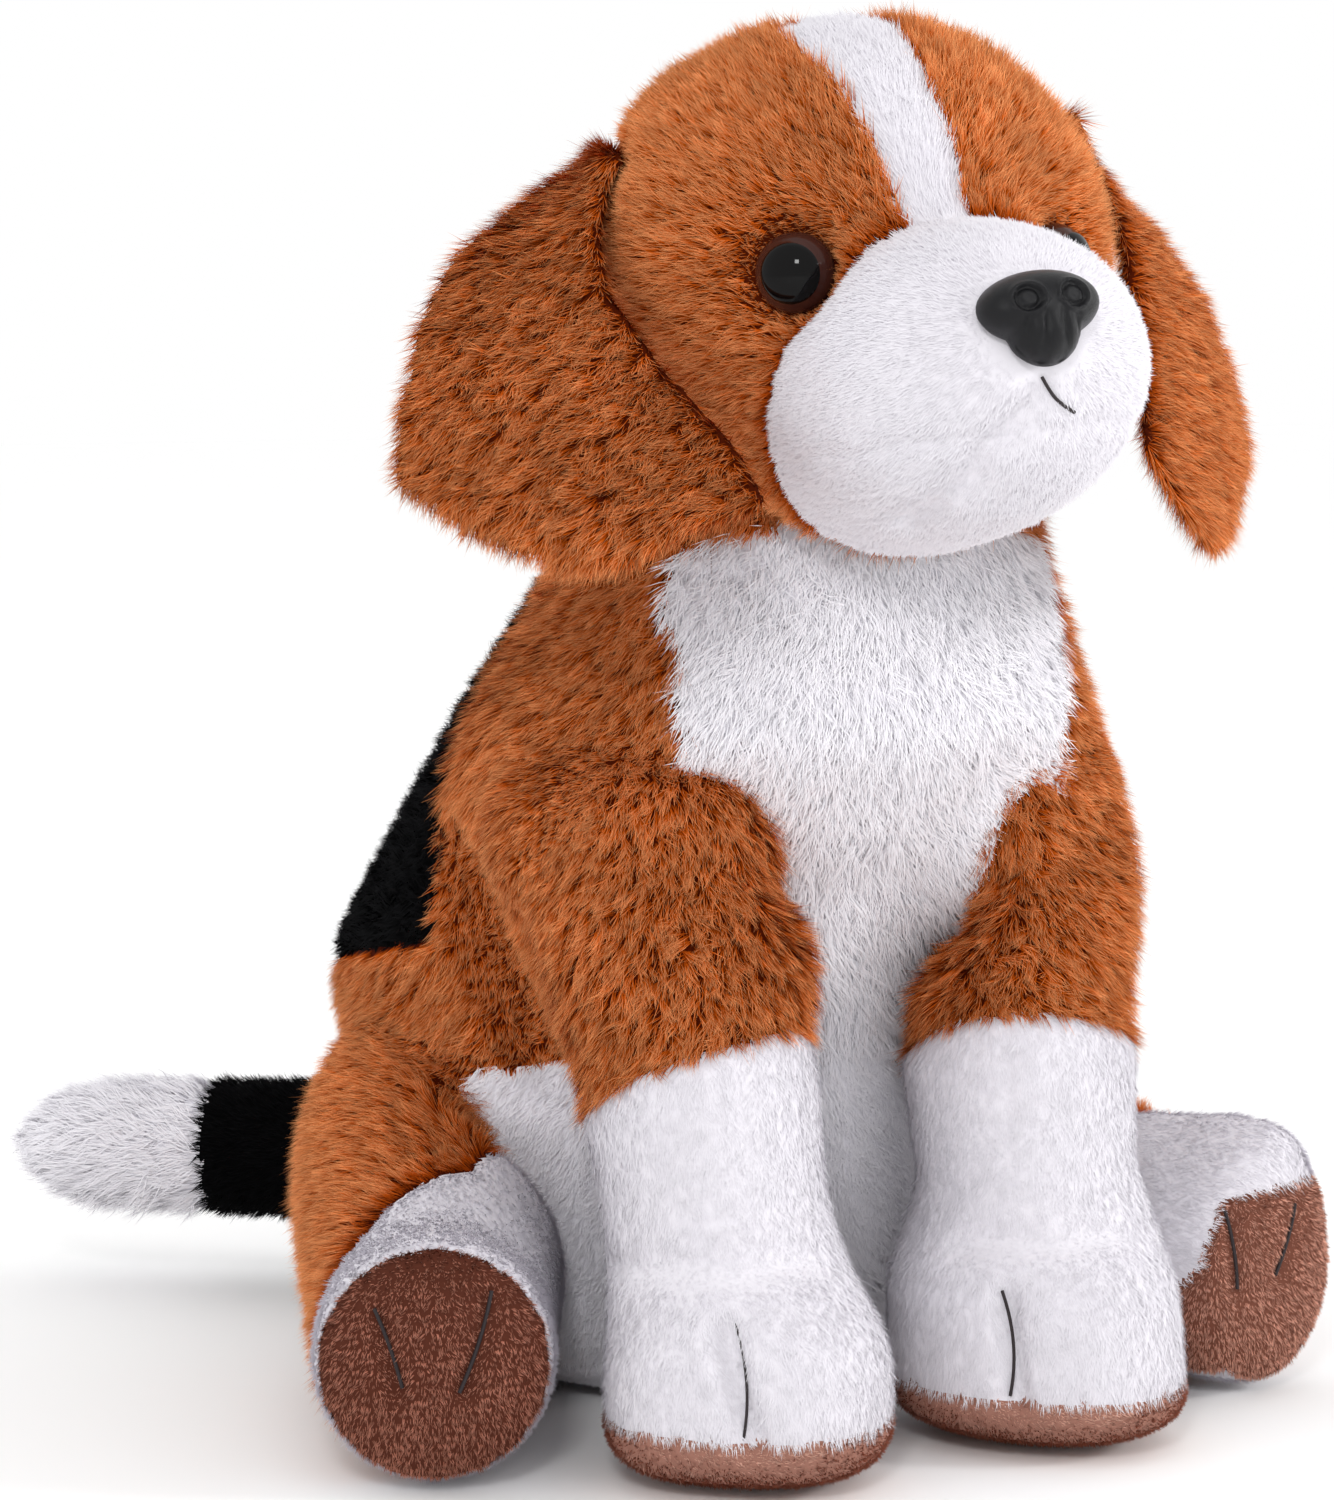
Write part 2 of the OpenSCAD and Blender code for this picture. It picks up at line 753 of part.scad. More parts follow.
// Layer of an ear from the middle surface to one side of it
module ear_sheet(side) {
    count = (ear_rows + 1) * (ear_columns + 1);
    out = side > 0;
    rim = [for (k = [0 : len(ear_rim) - 1])
        let (a = ear_rim[k], b = ear_rim[(k + 1) % len(ear_rim)])
        each out ? [[a, a + count, b], [b, a + count, b + count]] :
            [[a, b, a + count], [b, b + count, a + count]]];
    polyhedron(
        concat(ear_grid(0), ear_grid(side)),
        concat(cells(0, out), cells(count, !out), rim)
    );
}

module ear_roll(r, extra) translate(ear_root_front - extra * ear_axis / norm(ear_axis))
    rotate([0, acos(ear_axis[2] / norm(ear_axis)), atan2(ear_axis[1], ear_axis[0])])
    rotate(roll_turn) cylinder(h = norm(ear_axis) + 2 * extra, r = r);

module ear_groove() ear_roll((ear_roll_r + gap) * snug, gap, $fn = ball_fn);

module lifted(angle) translate(ear_root_front) rotate(-angle, ear_axis)
    translate(-ear_root_front) children();

module ear_layer(side, angle) difference() {
    lifted(angle) ear_sheet(side);
    ear_roll(ear_roll_r * snug, 2 * ear_roll_r, $fn = ball_fn);
    skull(gap);
    muzzle_form(gap);
}

module ear_outer_left() color(brown) sewn() in_head() ear_layer(1, ear_lift_left);

module ear_outer_right() color(brown) sewn() in_head() mirror([1, 0, 0]) ear_layer(1, ear_lift_right);

module ear_lining_left() color("#b46c3c") sewn() in_head() ear_layer(-1, ear_lift_left);

module ear_lining_right() color("#b46c3c") sewn() in_head()
    mirror([1, 0, 0]) ear_layer(-1, ear_lift_right);

module ear_roll_left() color(brown) in_head() ear_roll(ear_roll_r, 0);

module ear_roll_right() color(brown) in_head() mirror([1, 0, 0]) ear_roll(ear_roll_r, 0);

// Front legs, shaped for the left side

shoulder_middle = [shoulder_out, shoulder_back];
shoulder_half = [shoulder_r, shoulder_r, shoulder_r];
elbow_half = [elbow_w / 2, elbow_w / 2, elbow_w / 2];
fore_keys = [
    [-press, [0, -paw_ahead, paw_w / 2, paw_l / 2, paw_l / 2]],
    [paw_z, [0, -paw_ahead, paw_w / 2, paw_l / 2, paw_l / 2]],
    [ankle_z, [0, 0, fore_w / 2, fore_w / 2, fore_w / 2]],
    [elbow_z, concat([shoulder_out / 2, elbow_back], elbow_half)],
    [shoulder_z, concat(shoulder_middle, shoulder_half)],
    [shoulder_z + shoulder_r, concat(shoulder_middle, shoulder_half)]
];
fore_rounds = [10, shoulder_r];

module at_fore() translate([fore_gap / 2, fore_y, 0]) children();

module fore_form() at_fore() stuffed(fore_keys, fore_rounds, 0, limb_detail);

module fore_inside() at_fore() stuffed(fore_keys, fore_rounds, -skin, limb_inside_detail);

// Cuts a front leg where it meets the body, leaving the round shoulder
module fore_cut() difference() {
    children();
    difference() {
        torso_swept(shoulder, [-1, 0, 0], fore_swing);
        shoulder_ball(shoulder_r);
        translate([-far, -far, shoulder_z]) cube(2 * far);
    }
}

module sleeve_block() at_fore() translate([0, 0, sleeve_z]) rotate([-24, 10, 0])
    translate([-far, -far, 0]) cube(2 * far);

module sole_block() translate([-far, -far, -far]) cube([2 * far, 2 * far, far + sole_h]);

module fore_skin() fore_cut() difference() {
    fore_form();
    fore_inside();
}

module fore_fill() color(stuffing) fore_cut() fore_inside();

module sleeve() color(brown) intersection() {
    fore_skin();
    sleeve_block();
}

module sock() color(white) difference() {
    fore_skin();
    sleeve_block();
    sole_block();
}

module sole() color(tan) intersection() {
    fore_skin();
    sole_block();
}

// Point above the paw at this height, turned from its front towards the middle
function paw_face(z, turn) =
    let (v = along(fore_keys, z), s = draw_in(z, -press, far, fore_rounds[0], 1))
    [v[0] - (s * v[2] + thread_up) * sin(turn), v[1] - (s * v[3] + thread_up) * cos(turn), z];

module paw_stitch(turn) color(black) at_fore()
    stitch([for (z = [toe_z : toe_l / 2 : toe_z + toe_l]) paw_face(z, turn)], thread_r);

module fore_fill_left() sewn() fore_fill();

module fore_fill_right() sewn() mirror([1, 0, 0]) fore_fill();

module sleeve_left() sewn() sleeve();

module sleeve_right() sewn() mirror([1, 0, 0]) sleeve();

module sock_left() sewn() sock();

module sock_right() sewn() mirror([1, 0, 0]) sock();

module sole_left() sewn() sole();

module sole_right() sewn() mirror([1, 0, 0]) sole();

module paw_stitch_left() sewn() paw_stitch(toe_side_left);

module paw_stitch_right() sewn() mirror([1, 0, 0]) paw_stitch(toe_side_right);

// Hind legs, shaped for the left side along their own Z and then laid down

foot_r = foot_w / 2;
hind_keys = [
    [-thigh_r, [0, thigh_r, thigh_half_w, thigh_r + press, thigh_r]],
    [0, [0, thigh_r, thigh_half_w, thigh_r + press, thigh_r]],
    [leg_l / 2, [0, foot_r + 5, foot_r + 2, foot_r + 5 + press, foot_r + 6]],
    [leg_l - 26, [0, foot_r, foot_r, foot_r + press, foot_r]],
    [leg_l, [0, foot_r, foot_r, foot_r + press, foot_r]]
];
hind_rounds = [thigh_r, pad_bulge];

module at_hind() translate([hip_x, hip_y, 0]) rotate(splay) rotate([90, 0, 0]) children();

module hind_form() at_hind() stuffed(hind_keys, hind_rounds, 0, limb_detail);

module hind_inside() at_hind() stuffed(hind_keys, hind_rounds, -skin, limb_inside_detail);

// Cuts a hind leg where it meets the body, leaving the round hip
module hind_cut() difference() {
    children();
    difference() {
        torso_swept(hip, [-cos(splay), -sin(splay), 0], hind_lift);
        hip_ball(thigh_r, thigh_half_w);
        at_hind() translate([-far, -far, -2 * far]) cube(2 * far);
    }
}

module foot_block() at_hind() translate([0, foot_r, leg_l - hem_back]) rotate([-20, -24, 0])
    translate([-far, -far, 0]) cube(2 * far);

module pad_block() at_hind() translate([-far, -far, leg_l - pad_seam]) cube(2 * far);

module hind_skin() hind_cut() difference() {
    hind_form();
    hind_inside();
}

module hind_fill() color(stuffing) hind_cut() hind_inside();

module thigh() color(brown) difference() {
    hind_skin();
    foot_block();
    pad_block();
}

module foot() color(white) difference() {
    intersection() {
        hind_skin();
        foot_block();
    }
    pad_block();
}

module pad() color(tan) intersection() {
    hind_skin();
    pad_block();
}

// Point over the pad at this place beside and above its middle
function pad_face(x, y) =
    [x, foot_r + y, leg_l - end_depth(pad_bulge, norm([x, y]) / foot_r) + thread_up];

// Two toe stitches, wider apart at the top
module pad_stitch() color(black) at_hind() for (side = [-1, 1])
    stitch([
        pad_face(side * pad_toe_x, 0),
        pad_face(side * (pad_toe_x + 1.5), pad_toe_l / 2),
        pad_face(side * (pad_toe_x + 3), pad_toe_l)
    ], thread_r);

module hind_fill_left() sewn() hind_fill();

module hind_fill_right() sewn() mirror([1, 0, 0]) hind_fill();

module thigh_left() sewn() thigh();

module thigh_right() sewn() mirror([1, 0, 0]) thigh();

module foot_left() sewn() foot();

module foot_right() sewn() mirror([1, 0, 0]) foot();

module pad_left() sewn() pad();

module pad_right() sewn() mirror([1, 0, 0]) pad();

module pad_stitch_left() sewn() pad_stitch();

module pad_stitch_right() sewn() mirror([1, 0, 0]) pad_stitch();

// Tail, shaped along its own Z from the middle of its root

tail_half = [tail_w / 2, tail_w / 2, tail_w / 2];
tail_keys = [
    [-tail_w / 2, concat([0, 0], tail_half)],
    [tail_even_l, concat([0, 0], tail_half)],
    [tail_l, [0, 0, tail_tip_w / 2, tail_tip_w / 2, tail_tip_w / 2]]
];
tail_rounds = [tail_w / 2, 24];

module at_tail() translate(tail_root) rotate(tail_side) rotate([-90, 0, 0]) children();

module tail_form() at_tail() stuffed(tail_keys, tail_rounds, 0, tail_detail);

module tail_inside() at_tail() stuffed(tail_keys, tail_rounds, -skin, tail_inside_detail);

// Cuts the tail where it meets the body, leaving its round root
module tail_cut() difference() {
    children();
    difference() {
        torso_swept(tail_root, [0, 0, -1], tail_swing);
        tail_ball(tail_w / 2);
        at_tail() translate([-far, -far, -2 * far]) cube(2 * far);
    }
}

module tip_block() at_tail() translate([-far, -far, tail_l - tail_tip_l]) cube(2 * far);

module tail_skin() tail_cut() difference() {
    tail_form();
    tail_inside();
}

module tail_fill() color(stuffing) sewn() tail_cut() tail_inside();

module tail_band() color(black) sewn() difference() {
    tail_skin();
    tip_block();
}

module tail_tip() color(white) sewn() intersection() {
    tail_skin();
    tip_block();
}

body_fill();
bean_bag();
back_saddle();
flank_left();
flank_right();
chest_panel();
seat_panel();
neck_plug();
head_fill();
head_side_left();
head_side_right();
blaze();
muzzle();
chin();
eye_left();
eye_right();
eye_washer_left();
eye_washer_right();
nose();
nose_washer();
mouth_stitch();
ear_outer_left();
ear_outer_right();
ear_lining_left();
ear_lining_right();
ear_roll_left();
ear_roll_right();
fore_fill_left();
fore_fill_right();
sleeve_left();
sleeve_right();
sock_left();
sock_right();
sole_left();
sole_right();
paw_stitch_left();
paw_stitch_right();
hind_fill_left();
hind_fill_right();
thigh_left();
thigh_right();
foot_left();
foot_right();
pad_left();
pad_right();
pad_stitch_left();
pad_stitch_right();
tail_fill();
tail_band();
tail_tip();
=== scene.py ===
import math

import bpy
import numpy as np
from mathutils import Matrix, Vector
from mathutils.bvhtree import BVHTree


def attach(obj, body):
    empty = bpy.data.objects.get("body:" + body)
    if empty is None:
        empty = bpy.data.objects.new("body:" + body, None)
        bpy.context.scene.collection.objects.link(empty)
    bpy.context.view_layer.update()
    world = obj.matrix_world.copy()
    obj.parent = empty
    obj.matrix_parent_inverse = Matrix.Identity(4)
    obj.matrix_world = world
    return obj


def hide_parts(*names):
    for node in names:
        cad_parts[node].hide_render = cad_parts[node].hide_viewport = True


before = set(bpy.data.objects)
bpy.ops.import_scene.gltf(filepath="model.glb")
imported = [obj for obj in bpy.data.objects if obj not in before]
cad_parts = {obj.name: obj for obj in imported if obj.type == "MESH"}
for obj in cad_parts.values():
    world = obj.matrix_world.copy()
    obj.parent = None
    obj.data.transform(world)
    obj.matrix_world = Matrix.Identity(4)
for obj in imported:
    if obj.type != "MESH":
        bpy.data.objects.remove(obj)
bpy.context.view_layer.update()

MM = 0.001
SIDES = {"left": 1, "right": -1}


# Places on the toy in millimetres and degrees, as the parts have them

SHOULDER = (41, -60, 126)
SHOULDER_R = 28.2
HIP = (57, 8, 45)
HIP_R = 44.2
HIP_HALF_WIDTH = 32.2
HIP_TURN = 24
NECK = (0, -52, 184)
NECK_R = 44
TAIL_ROOT = (0, 75.3, 34)
TAIL_ROOT_R = 17.8
TAIL_TURN = math.radians(55)
TAIL_DIRECTION = Vector((-math.sin(TAIL_TURN), math.cos(TAIL_TURN), 0))
FLOOR_GAP = 0.3


def turned(axis, degrees):
    return Matrix.Rotation(math.radians(degrees), 4, axis)


def moved(x, y, z):
    return Matrix.Translation((x * MM, y * MM, z * MM))


def mirrored(s):
    return Matrix.Diagonal((s, 1, 1, 1))


HEAD = moved(0, -78, 245) @ turned("Z", -6) @ turned("Y", -5) @ turned("X", -6)
NOSE = HEAD @ moved(0, -88.5, -20) @ turned("X", 78) @ moved(0, 0, -2.5)
PLAIN_EYE = moved(31.2, -43, -3.7)
EYE_PLACES = {"left": moved(28.6, -39, -6.7), "right": moved(29.5, -39.5, -3.7)}
EYES = {
    side: HEAD @ mirrored(s) @ EYE_PLACES[side] @ turned("Z", 36) @ turned("X", 94) @ moved(0, 0, -1.5)
    for side, s in SIDES.items()
}
HIND = {
    side: mirrored(s) @ moved(HIP[0], HIP[1], 0) @ turned("Z", HIP_TURN) @ turned("X", 90)
    for side, s in SIDES.items()
}


def on_toy(*places):
    return [Vector(place) * MM for place in places]


def on_head(*places):
    return [HEAD @ (Vector(place) * MM) for place in places]


def in_frame(points, place):
    """Points of the toy in millimetres of the frame at a place."""
    to_place = np.array(place.inverted())
    return (points @ to_place[:3, :3].T + to_place[:3, 3]) / MM


# Camera, in metres

CAMERA_PLACE = (-0.4695, -0.9329, 0.240)
CAMERA_AIM = (-0.023, -0.038, 0.142)
CAMERA_LENS = 113.2
CAMERA_SENSOR = 36
PICTURE_RIGHT = np.array([CAMERA_AIM[1] - CAMERA_PLACE[1], CAMERA_PLACE[0] - CAMERA_AIM[0], 0])


def aimed(made, place, aim):
    """Links a camera or lamp that looks from a place to an aim."""
    made.location = place
    made.rotation_euler = (Vector(aim) - made.location).to_track_quat("-Z", "Y").to_euler()
    bpy.context.collection.objects.link(made)


camera = bpy.data.objects.new("camera", bpy.data.cameras.new("camera"))
aimed(camera, CAMERA_PLACE, CAMERA_AIM)
camera.data.lens = CAMERA_LENS
camera.data.sensor_width = CAMERA_SENSOR
camera.data.clip_start = 0.01
bpy.context.scene.camera = camera
bpy.context.scene.view_settings.view_transform = "Standard"


# Shader sockets as Python values

class Value:
    """A socket of a material's nodes. Plus and times on it add Math nodes."""

    def __init__(self, tree, socket):
        self.tree = tree
        self.socket = socket

    def node(self, kind, settings=None, sockets=None, out=0):
        node = self.tree.nodes.new(kind)
        for name, value in (settings or {}).items():
            if name == "stops":
                ramp = node.color_ramp
                while len(ramp.elements) < len(value):
                    ramp.elements.new(0.5)
                for stop, (place, colour) in zip(ramp.elements, value):
                    stop.position = place
                    stop.color = (*colour, 1)
            else:
                setattr(node, name, value)
        for name, value in (sockets or {}).items():
            if isinstance(value, Value):
                self.tree.links.new(value.socket, node.inputs[name])
            else:
                node.inputs[name].default_value = value
        return Value(self.tree, node.outputs[out])

    def maths(self, operation, a, b):
        return self.node("ShaderNodeMath", {"operation": operation}, {0: a, 1: b})

    def __add__(self, other):
        return self.maths("ADD", self, other)

    def __radd__(self, other):
        return self.maths("ADD", other, self)

    def __mul__(self, other):
        return self.maths("MULTIPLY", self, other)

    def __rmul__(self, other):
        return self.maths("MULTIPLY", other, self)

    def part(self, name):
        return Value(self.tree, self.socket.node.outputs[name])


def srgb(r, g, b):
    """A colour as seen on screen, 0 to 255, as light."""
    return tuple((c / 255 / 12.92) if c < 10.3 else ((c / 255 + 0.055) / 1.055) ** 2.4 for c in (r, g, b))


def material(name, **constants):
    """A new material with a Principled surface, and a Value to start its nodes from."""
    made = bpy.data.materials.new(name)
    made.use_nodes = True
    surface = made.node_tree.nodes["Principled BSDF"]
    for socket, value in constants.items():
        surface.inputs[socket.replace("_", " ")].default_value = value
    return made, surface, Value(made.node_tree, surface.outputs[0])


def plain_material(name, colour, **constants):
    made, _, _ = material(name, Base_Color=(*srgb(*colour), 1), **constants)
    return made


def link(value, socket):
    value.tree.links.new(value.socket, socket)


def fur_material(name, root, middle, tip, dull, bright):
    """Pile from root to tip up the map, darker at the root as painted shade between the hairs and lighter at
    the tip as painted light, and from dull to bright hairs across it.
    """
    made, surface, start = material(name, Roughness=0.85, Specular_IOR_Level=0.05)
    place = start.node("ShaderNodeUVMap", {"uv_map": "OFBake"})
    split = start.node("ShaderNodeSeparateXYZ", sockets={0: place})
    # the root colour is painted shade and the tip colour painted light
    stops = [(0.08, srgb(*root)), (0.5, srgb(*middle)), (1.0, srgb(*tip))]
    along = start.node("ShaderNodeValToRGB", {"stops": stops}, {0: split.part("Y")})
    shade = dull + (bright - dull) * split.part("X")
    mixed = start.node(
        "ShaderNodeMix", {"data_type": "RGBA", "blend_type": "MULTIPLY"},
        {0: 1.0, 6: along, 7: shade}, out=2,
    )
    link(mixed, surface.inputs["Base Color"])
    return made


# each pile runs from its root colour, painted shade, to its tip colour, painted light
BROWN = fur_material("brown pile", (100, 30, 0), (190, 82, 13), (247, 172, 114), 0.44, 1.42)
WHITE = fur_material("white pile", (226, 223, 229), (232, 229, 235), (238, 236, 241), 0.97, 1.0)
# a lighter copy of the white pile for the long hair: painted light that lifts the shade the long pile casts
# in itself
LONG_WHITE_PAINTED_LIGHTER = fur_material("long white pile", (243, 241, 247), (248, 246, 251), (252, 250, 254), 0.98, 1.0)
BLACK = fur_material("black pile", (2, 2, 3), (6, 6, 7), (17, 17, 19), 0.5, 1.3)
SADDLE = fur_material("black curls", (4, 4, 5), (12, 12, 13), (30, 30, 32), 0.5, 1.3)
PAD = fur_material("pad pile", (104, 56, 42), (154, 96, 78), (192, 136, 116), 0.55, 1.35)
# a lighter copy of the pad pile for the left pad: painted light, as if the right lamp fell on it more
# strongly
PAD_PAINTED_LIGHTER = fur_material("pad pile, painted_lighter", (136, 84, 68), (190, 132, 112), (220, 168, 148), 0.6, 1.3)
# the soles wear a lighter copy of the pad pile: painted light that lifts the shade under the paws
SOLE_PAINTED_LIGHTER = fur_material("sole pile", (178, 128, 112), (206, 156, 138), (224, 180, 162), 0.72, 1.15)
STUFFING = plain_material("stuffing", (244, 241, 234), Roughness=1.0)
THREAD = plain_material("thread", (38, 30, 32), Roughness=0.8)
EYE_BLACK = plain_material("eye black", (8, 7, 7), Roughness=0.05, Specular_IOR_Level=0.14)
EYE_RING = plain_material("eye ring", (58, 30, 24), Roughness=0.12, Specular_IOR_Level=0.15)
WASHER = plain_material("washer plastic", (225, 225, 225), Roughness=0.5)
PAPER = plain_material("pale paper", (255, 255, 255), Roughness=1.0)


def nose_material():
    """Black rubber, dulled by a grain that is too fine to make out."""
    cells_in_a_metre = 60000.0
    made, surface, start = material(
        "nose rubber", Base_Color=(*srgb(14, 14, 17), 1), Roughness=0.3, Specular_IOR_Level=0.22
    )
    place = start.node("ShaderNodeTexCoord").part("Object")
    grain = start.node(
        "ShaderNodeTexVoronoi", {"feature": "SMOOTH_F1"}, {"Vector": place, "Scale": cells_in_a_metre}
    )
    bump = start.node("ShaderNodeBump", sockets={"Strength": 0.25, "Distance": 0.0003, "Height": grain})
    link(bump, surface.inputs["Normal"])
    return made


def coated(made, *looks):
    made.data.materials.clear()
    for look in looks:
        made.data.materials.append(look)


def placed(made, body, slot, *nodes):
    """A finished piece, attached to the body it rides, with the solids it stands for hidden. The slot is not
    used.
    """
    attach(made, body)
    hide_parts(*nodes)


# Sewn forms, taken from the plain solids of the frame


def only(made):
    bpy.ops.object.select_all(action="DESELECT")
    made.select_set(True)
    bpy.context.view_layer.objects.active = made


def apply(made, kind, **settings):
    only(made)
    modifier = made.modifiers.new(kind.lower(), kind)
    for name, value in settings.items():
        setattr(modifier, name, value)
    bpy.ops.object.modifier_apply(modifier=modifier.name)


def joined(pieces):
    """The first of the pieces, with the others in its mesh."""
    bpy.ops.object.select_all(action="DESELECT")
    for piece in pieces:
        piece.select_set(True)
    bpy.context.view_layer.objects.active = pieces[0]
    if len(pieces) > 1:
        bpy.ops.object.join()
    return pieces[0]


def copies(name, nodes):
    """One new object with the solids of these nodes."""
    pieces = []
    for node in nodes:
        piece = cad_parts[node].copy()
        piece.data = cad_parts[node].data.copy()
        piece.modifiers.clear()
        piece.parent = None
        piece.matrix_world = Matrix.Identity(4)
        bpy.context.collection.objects.link(piece)
        pieces.append(piece)
    made = joined(pieces)
    made.name = name
    only(made)
    bpy.ops.object.mode_set(mode="EDIT")
    bpy.ops.mesh.select_all(action="SELECT")
    bpy.ops.mesh.remove_doubles(threshold=0.01 * MM)
    bpy.ops.object.mode_set(mode="OBJECT")
    return made


def ball(place, r, squeeze=(1, 1, 1), turn=0):
    bpy.ops.object.select_all(action="DESELECT")
    bpy.ops.mesh.primitive_uv_sphere_add(segments=32, ring_count=16, radius=r * MM)
    made = bpy.context.object
    made.data.transform(moved(*place) @ turned("Z", turn) @ Matrix.Diagonal((*squeeze, 1)))
    return made


def softened(made, voxel, rounds, finer):
    """The solid as one stuffed skin without facets."""
    apply(made, "REMESH", mode="VOXEL", voxel_size=voxel * MM)
    apply(made, "SMOOTH", factor=0.5, iterations=rounds)
    if finer:
        apply(made, "SUBSURF", levels=1, render_levels=1)
    apply(made, "TRIANGULATE")
    return made


def trees(nodes):
    made = {}
    for node in nodes:
        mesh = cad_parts[node].data
        mesh.calc_loop_triangles()
        made[node] = BVHTree.FromPolygons(
            [v.co for v in mesh.vertices], [t.vertices for t in mesh.loop_triangles]
        )
    return made


def unit(v):
    return v / np.maximum(np.linalg.norm(v, axis=-1, keepdims=True), 1e-12)


def step(low, high, x):
    """0 before low and 1 past high, with a smooth rise between."""
    t = ((x - low) / (high - low)).clip(0, 1)
    return t * t * (3 - 2 * t)


class Skin:
    """A stuffed skin as arrays, with the panel that each face belongs to."""

    # share of the pile that a dent takes, and the spacing and reach of the heights that widen looks at
    DENT_SHORTENS = 0.6
    LEVEL = 4
    LEVEL_REACH = 6

    def __init__(self, made, panels, favour=None, pattern=None):
        """favour gives a panel some millimetres more than its plain solid has, pattern moves the seams."""
        mesh = made.data
        self.points = np.zeros(len(mesh.vertices) * 3)
        mesh.vertices.foreach_get("co", self.points)
        self.points = self.points.reshape(-1, 3)
        self.faces = np.zeros(len(mesh.polygons) * 3, np.int32)
        mesh.polygons.foreach_get("vertices", self.faces)
        self.faces = self.faces.reshape(-1, 3)
        self.panels = panels
        near = trees(panels)
        more = [(favour or {}).get(panel, 0) * MM for panel in panels]
        self.panel = np.zeros(len(self.faces), np.int32)
        places = self.middles()
        for i, place in enumerate(places if pattern is None else pattern(places)):
            place = Vector(place)
            self.panel[i] = min(
                range(len(panels)), key=lambda k: near[panels[k]].find_nearest(place)[3] - more[k]
            )
        self.room = np.ones(len(self.points))
        bpy.data.objects.remove(made)

    def middles(self):
        return self.points[self.faces].mean(axis=1)

    def tree(self):
        return BVHTree.FromPolygons(self.points.tolist(), self.faces.tolist())

    def normals(self):
        a, b, c = (self.points[self.faces[:, k]] for k in range(3))
        flat = np.cross(b - a, c - a)
        out = np.zeros_like(self.points)
        for k in range(3):
            np.add.at(out, self.faces[:, k], flat)
        return unit(out)

    def spread(self, values, rounds):
        """Values on points, evened out between neighbours."""
        edges = np.concatenate([self.faces[:, [0, 1]], self.faces[:, [1, 2]], self.faces[:, [2, 0]]])
        count = np.bincount(edges[:, 0], minlength=len(self.points))
        for _ in range(rounds):
            total = np.bincount(edges[:, 0], values[edges[:, 1]], minlength=len(self.points))
            values = 0.5 * values + 0.5 * total / np.maximum(count, 1)
        return values

    def sink(self, depths, seam):
        """Draws the skin in under its pile, and a little more along the seams."""
        depth = np.array([depths[p] for p in self.panels])[self.panel]
        total = np.zeros(len(self.points))
        count = np.zeros(len(self.points))
        low = np.full(len(self.points), len(self.panels))
        high = np.full(len(self.points), -1)
        for k in range(3):
            np.add.at(total, self.faces[:, k], depth)
            np.add.at(count, self.faces[:, k], 1)
            np.minimum.at(low, self.faces[:, k], self.panel)
            np.maximum.at(high, self.faces[:, k], self.panel)
        even = self.spread(total / np.maximum(count, 1), rounds=8)
        groove = self.spread((low != high).astype(float), rounds=3)
        self.points -= self.normals() * (even + seam * groove)[:, None] * MM
        self.points[:, 2] = np.maximum(self.points[:, 2], FLOOR_GAP * MM)

    def dent(self, line, depth, width):
        """Presses a soft groove with shorter pile along a line of places, or raises a ridge there."""
        line = [np.array(place) for place in line]
        far = np.full(len(self.points), 1e9)
        for a, b in zip(line[:-1], line[1:]):
            along = (((self.points - a) @ (b - a)) / ((b - a) @ (b - a))).clip(0, 1)
            far = np.minimum(far, np.linalg.norm(self.points - a - along[:, None] * (b - a), axis=1))
        press = np.exp(-(far / (width * MM)) ** 2)
        self.points -= self.normals() * (depth * MM * press)[:, None]
        if depth > 0:
            self.shorten(1 - self.DENT_SHORTENS * press)

    def press(self, place, depth, width):
        """A dent at one place."""
        self.dent([place, place + Vector((0, 0, MM))], depth, width)

    def widen(self, out, amount, reach):
        """Pushes the side that faces out by an amount at each height, less and less over its reach."""
        z = self.points[:, 2]
        beyond = self.points @ out
        levels = np.arange(z.min(), z.max(), self.LEVEL * MM)
        edge = [beyond[np.abs(z - level) < self.LEVEL_REACH * MM].max() for level in levels]
        near = 1 - (np.interp(z, levels, edge) - beyond) / (reach * MM)
        self.points += (amount(z / MM) * step(0, 1, near) * MM)[:, None] * out

    def laid(self, line, up):
        """The line of places brought onto the skin, this many millimetres above it."""
        tree = self.tree()
        found = [tree.find_nearest(Vector(place)) for place in line]
        return [place + normal * up * MM for place, normal, _, _ in found]

    def far_from(self, place):
        return np.linalg.norm(self.points - np.array(place), axis=1) / MM

    def shorten(self, share):
        """Leaves this share of the pile's length at each point of the skin."""
        self.room = np.minimum(self.room, share)


# Kinds of pile: lengths in millimetres, lean in degrees, hairs for each square millimetre

PLAIN_PILE = {"tuft_turn": 0.3, "stray": 0.3, "lift": 0.14, "bend": 0, "twist": 0.8, "soft": 0.8, "rows": 0}
LONG_BROWN = {
    **PLAIN_PILE, "look": BROWN, "slot": "brown_plush", "length": 5.6, "lean": 58, "density": 5.0,
    "width": 0.26, "tuft": 2.0, "gather": 0.35, "tuft_turn": 0.35, "twist": 0.3, "soft": 0.85,
}
EAR_BROWN = {**LONG_BROWN, "length": 5, "lean": 62, "gather": 0.25}
SHAGGY_WHITE = {
    **PLAIN_PILE, "look": LONG_WHITE_PAINTED_LIGHTER, "slot": "white_plush", "length": 6, "lean": 66, "density": 3.6,
    "width": 0.26, "tuft": 2.6, "gather": 0.2, "tuft_turn": 0.35, "stray": 0.25, "bend": 0.15,
    "twist": 0.1, "soft": 1.0,
}
TAIL_WHITE = {**SHAGGY_WHITE, "length": 7}
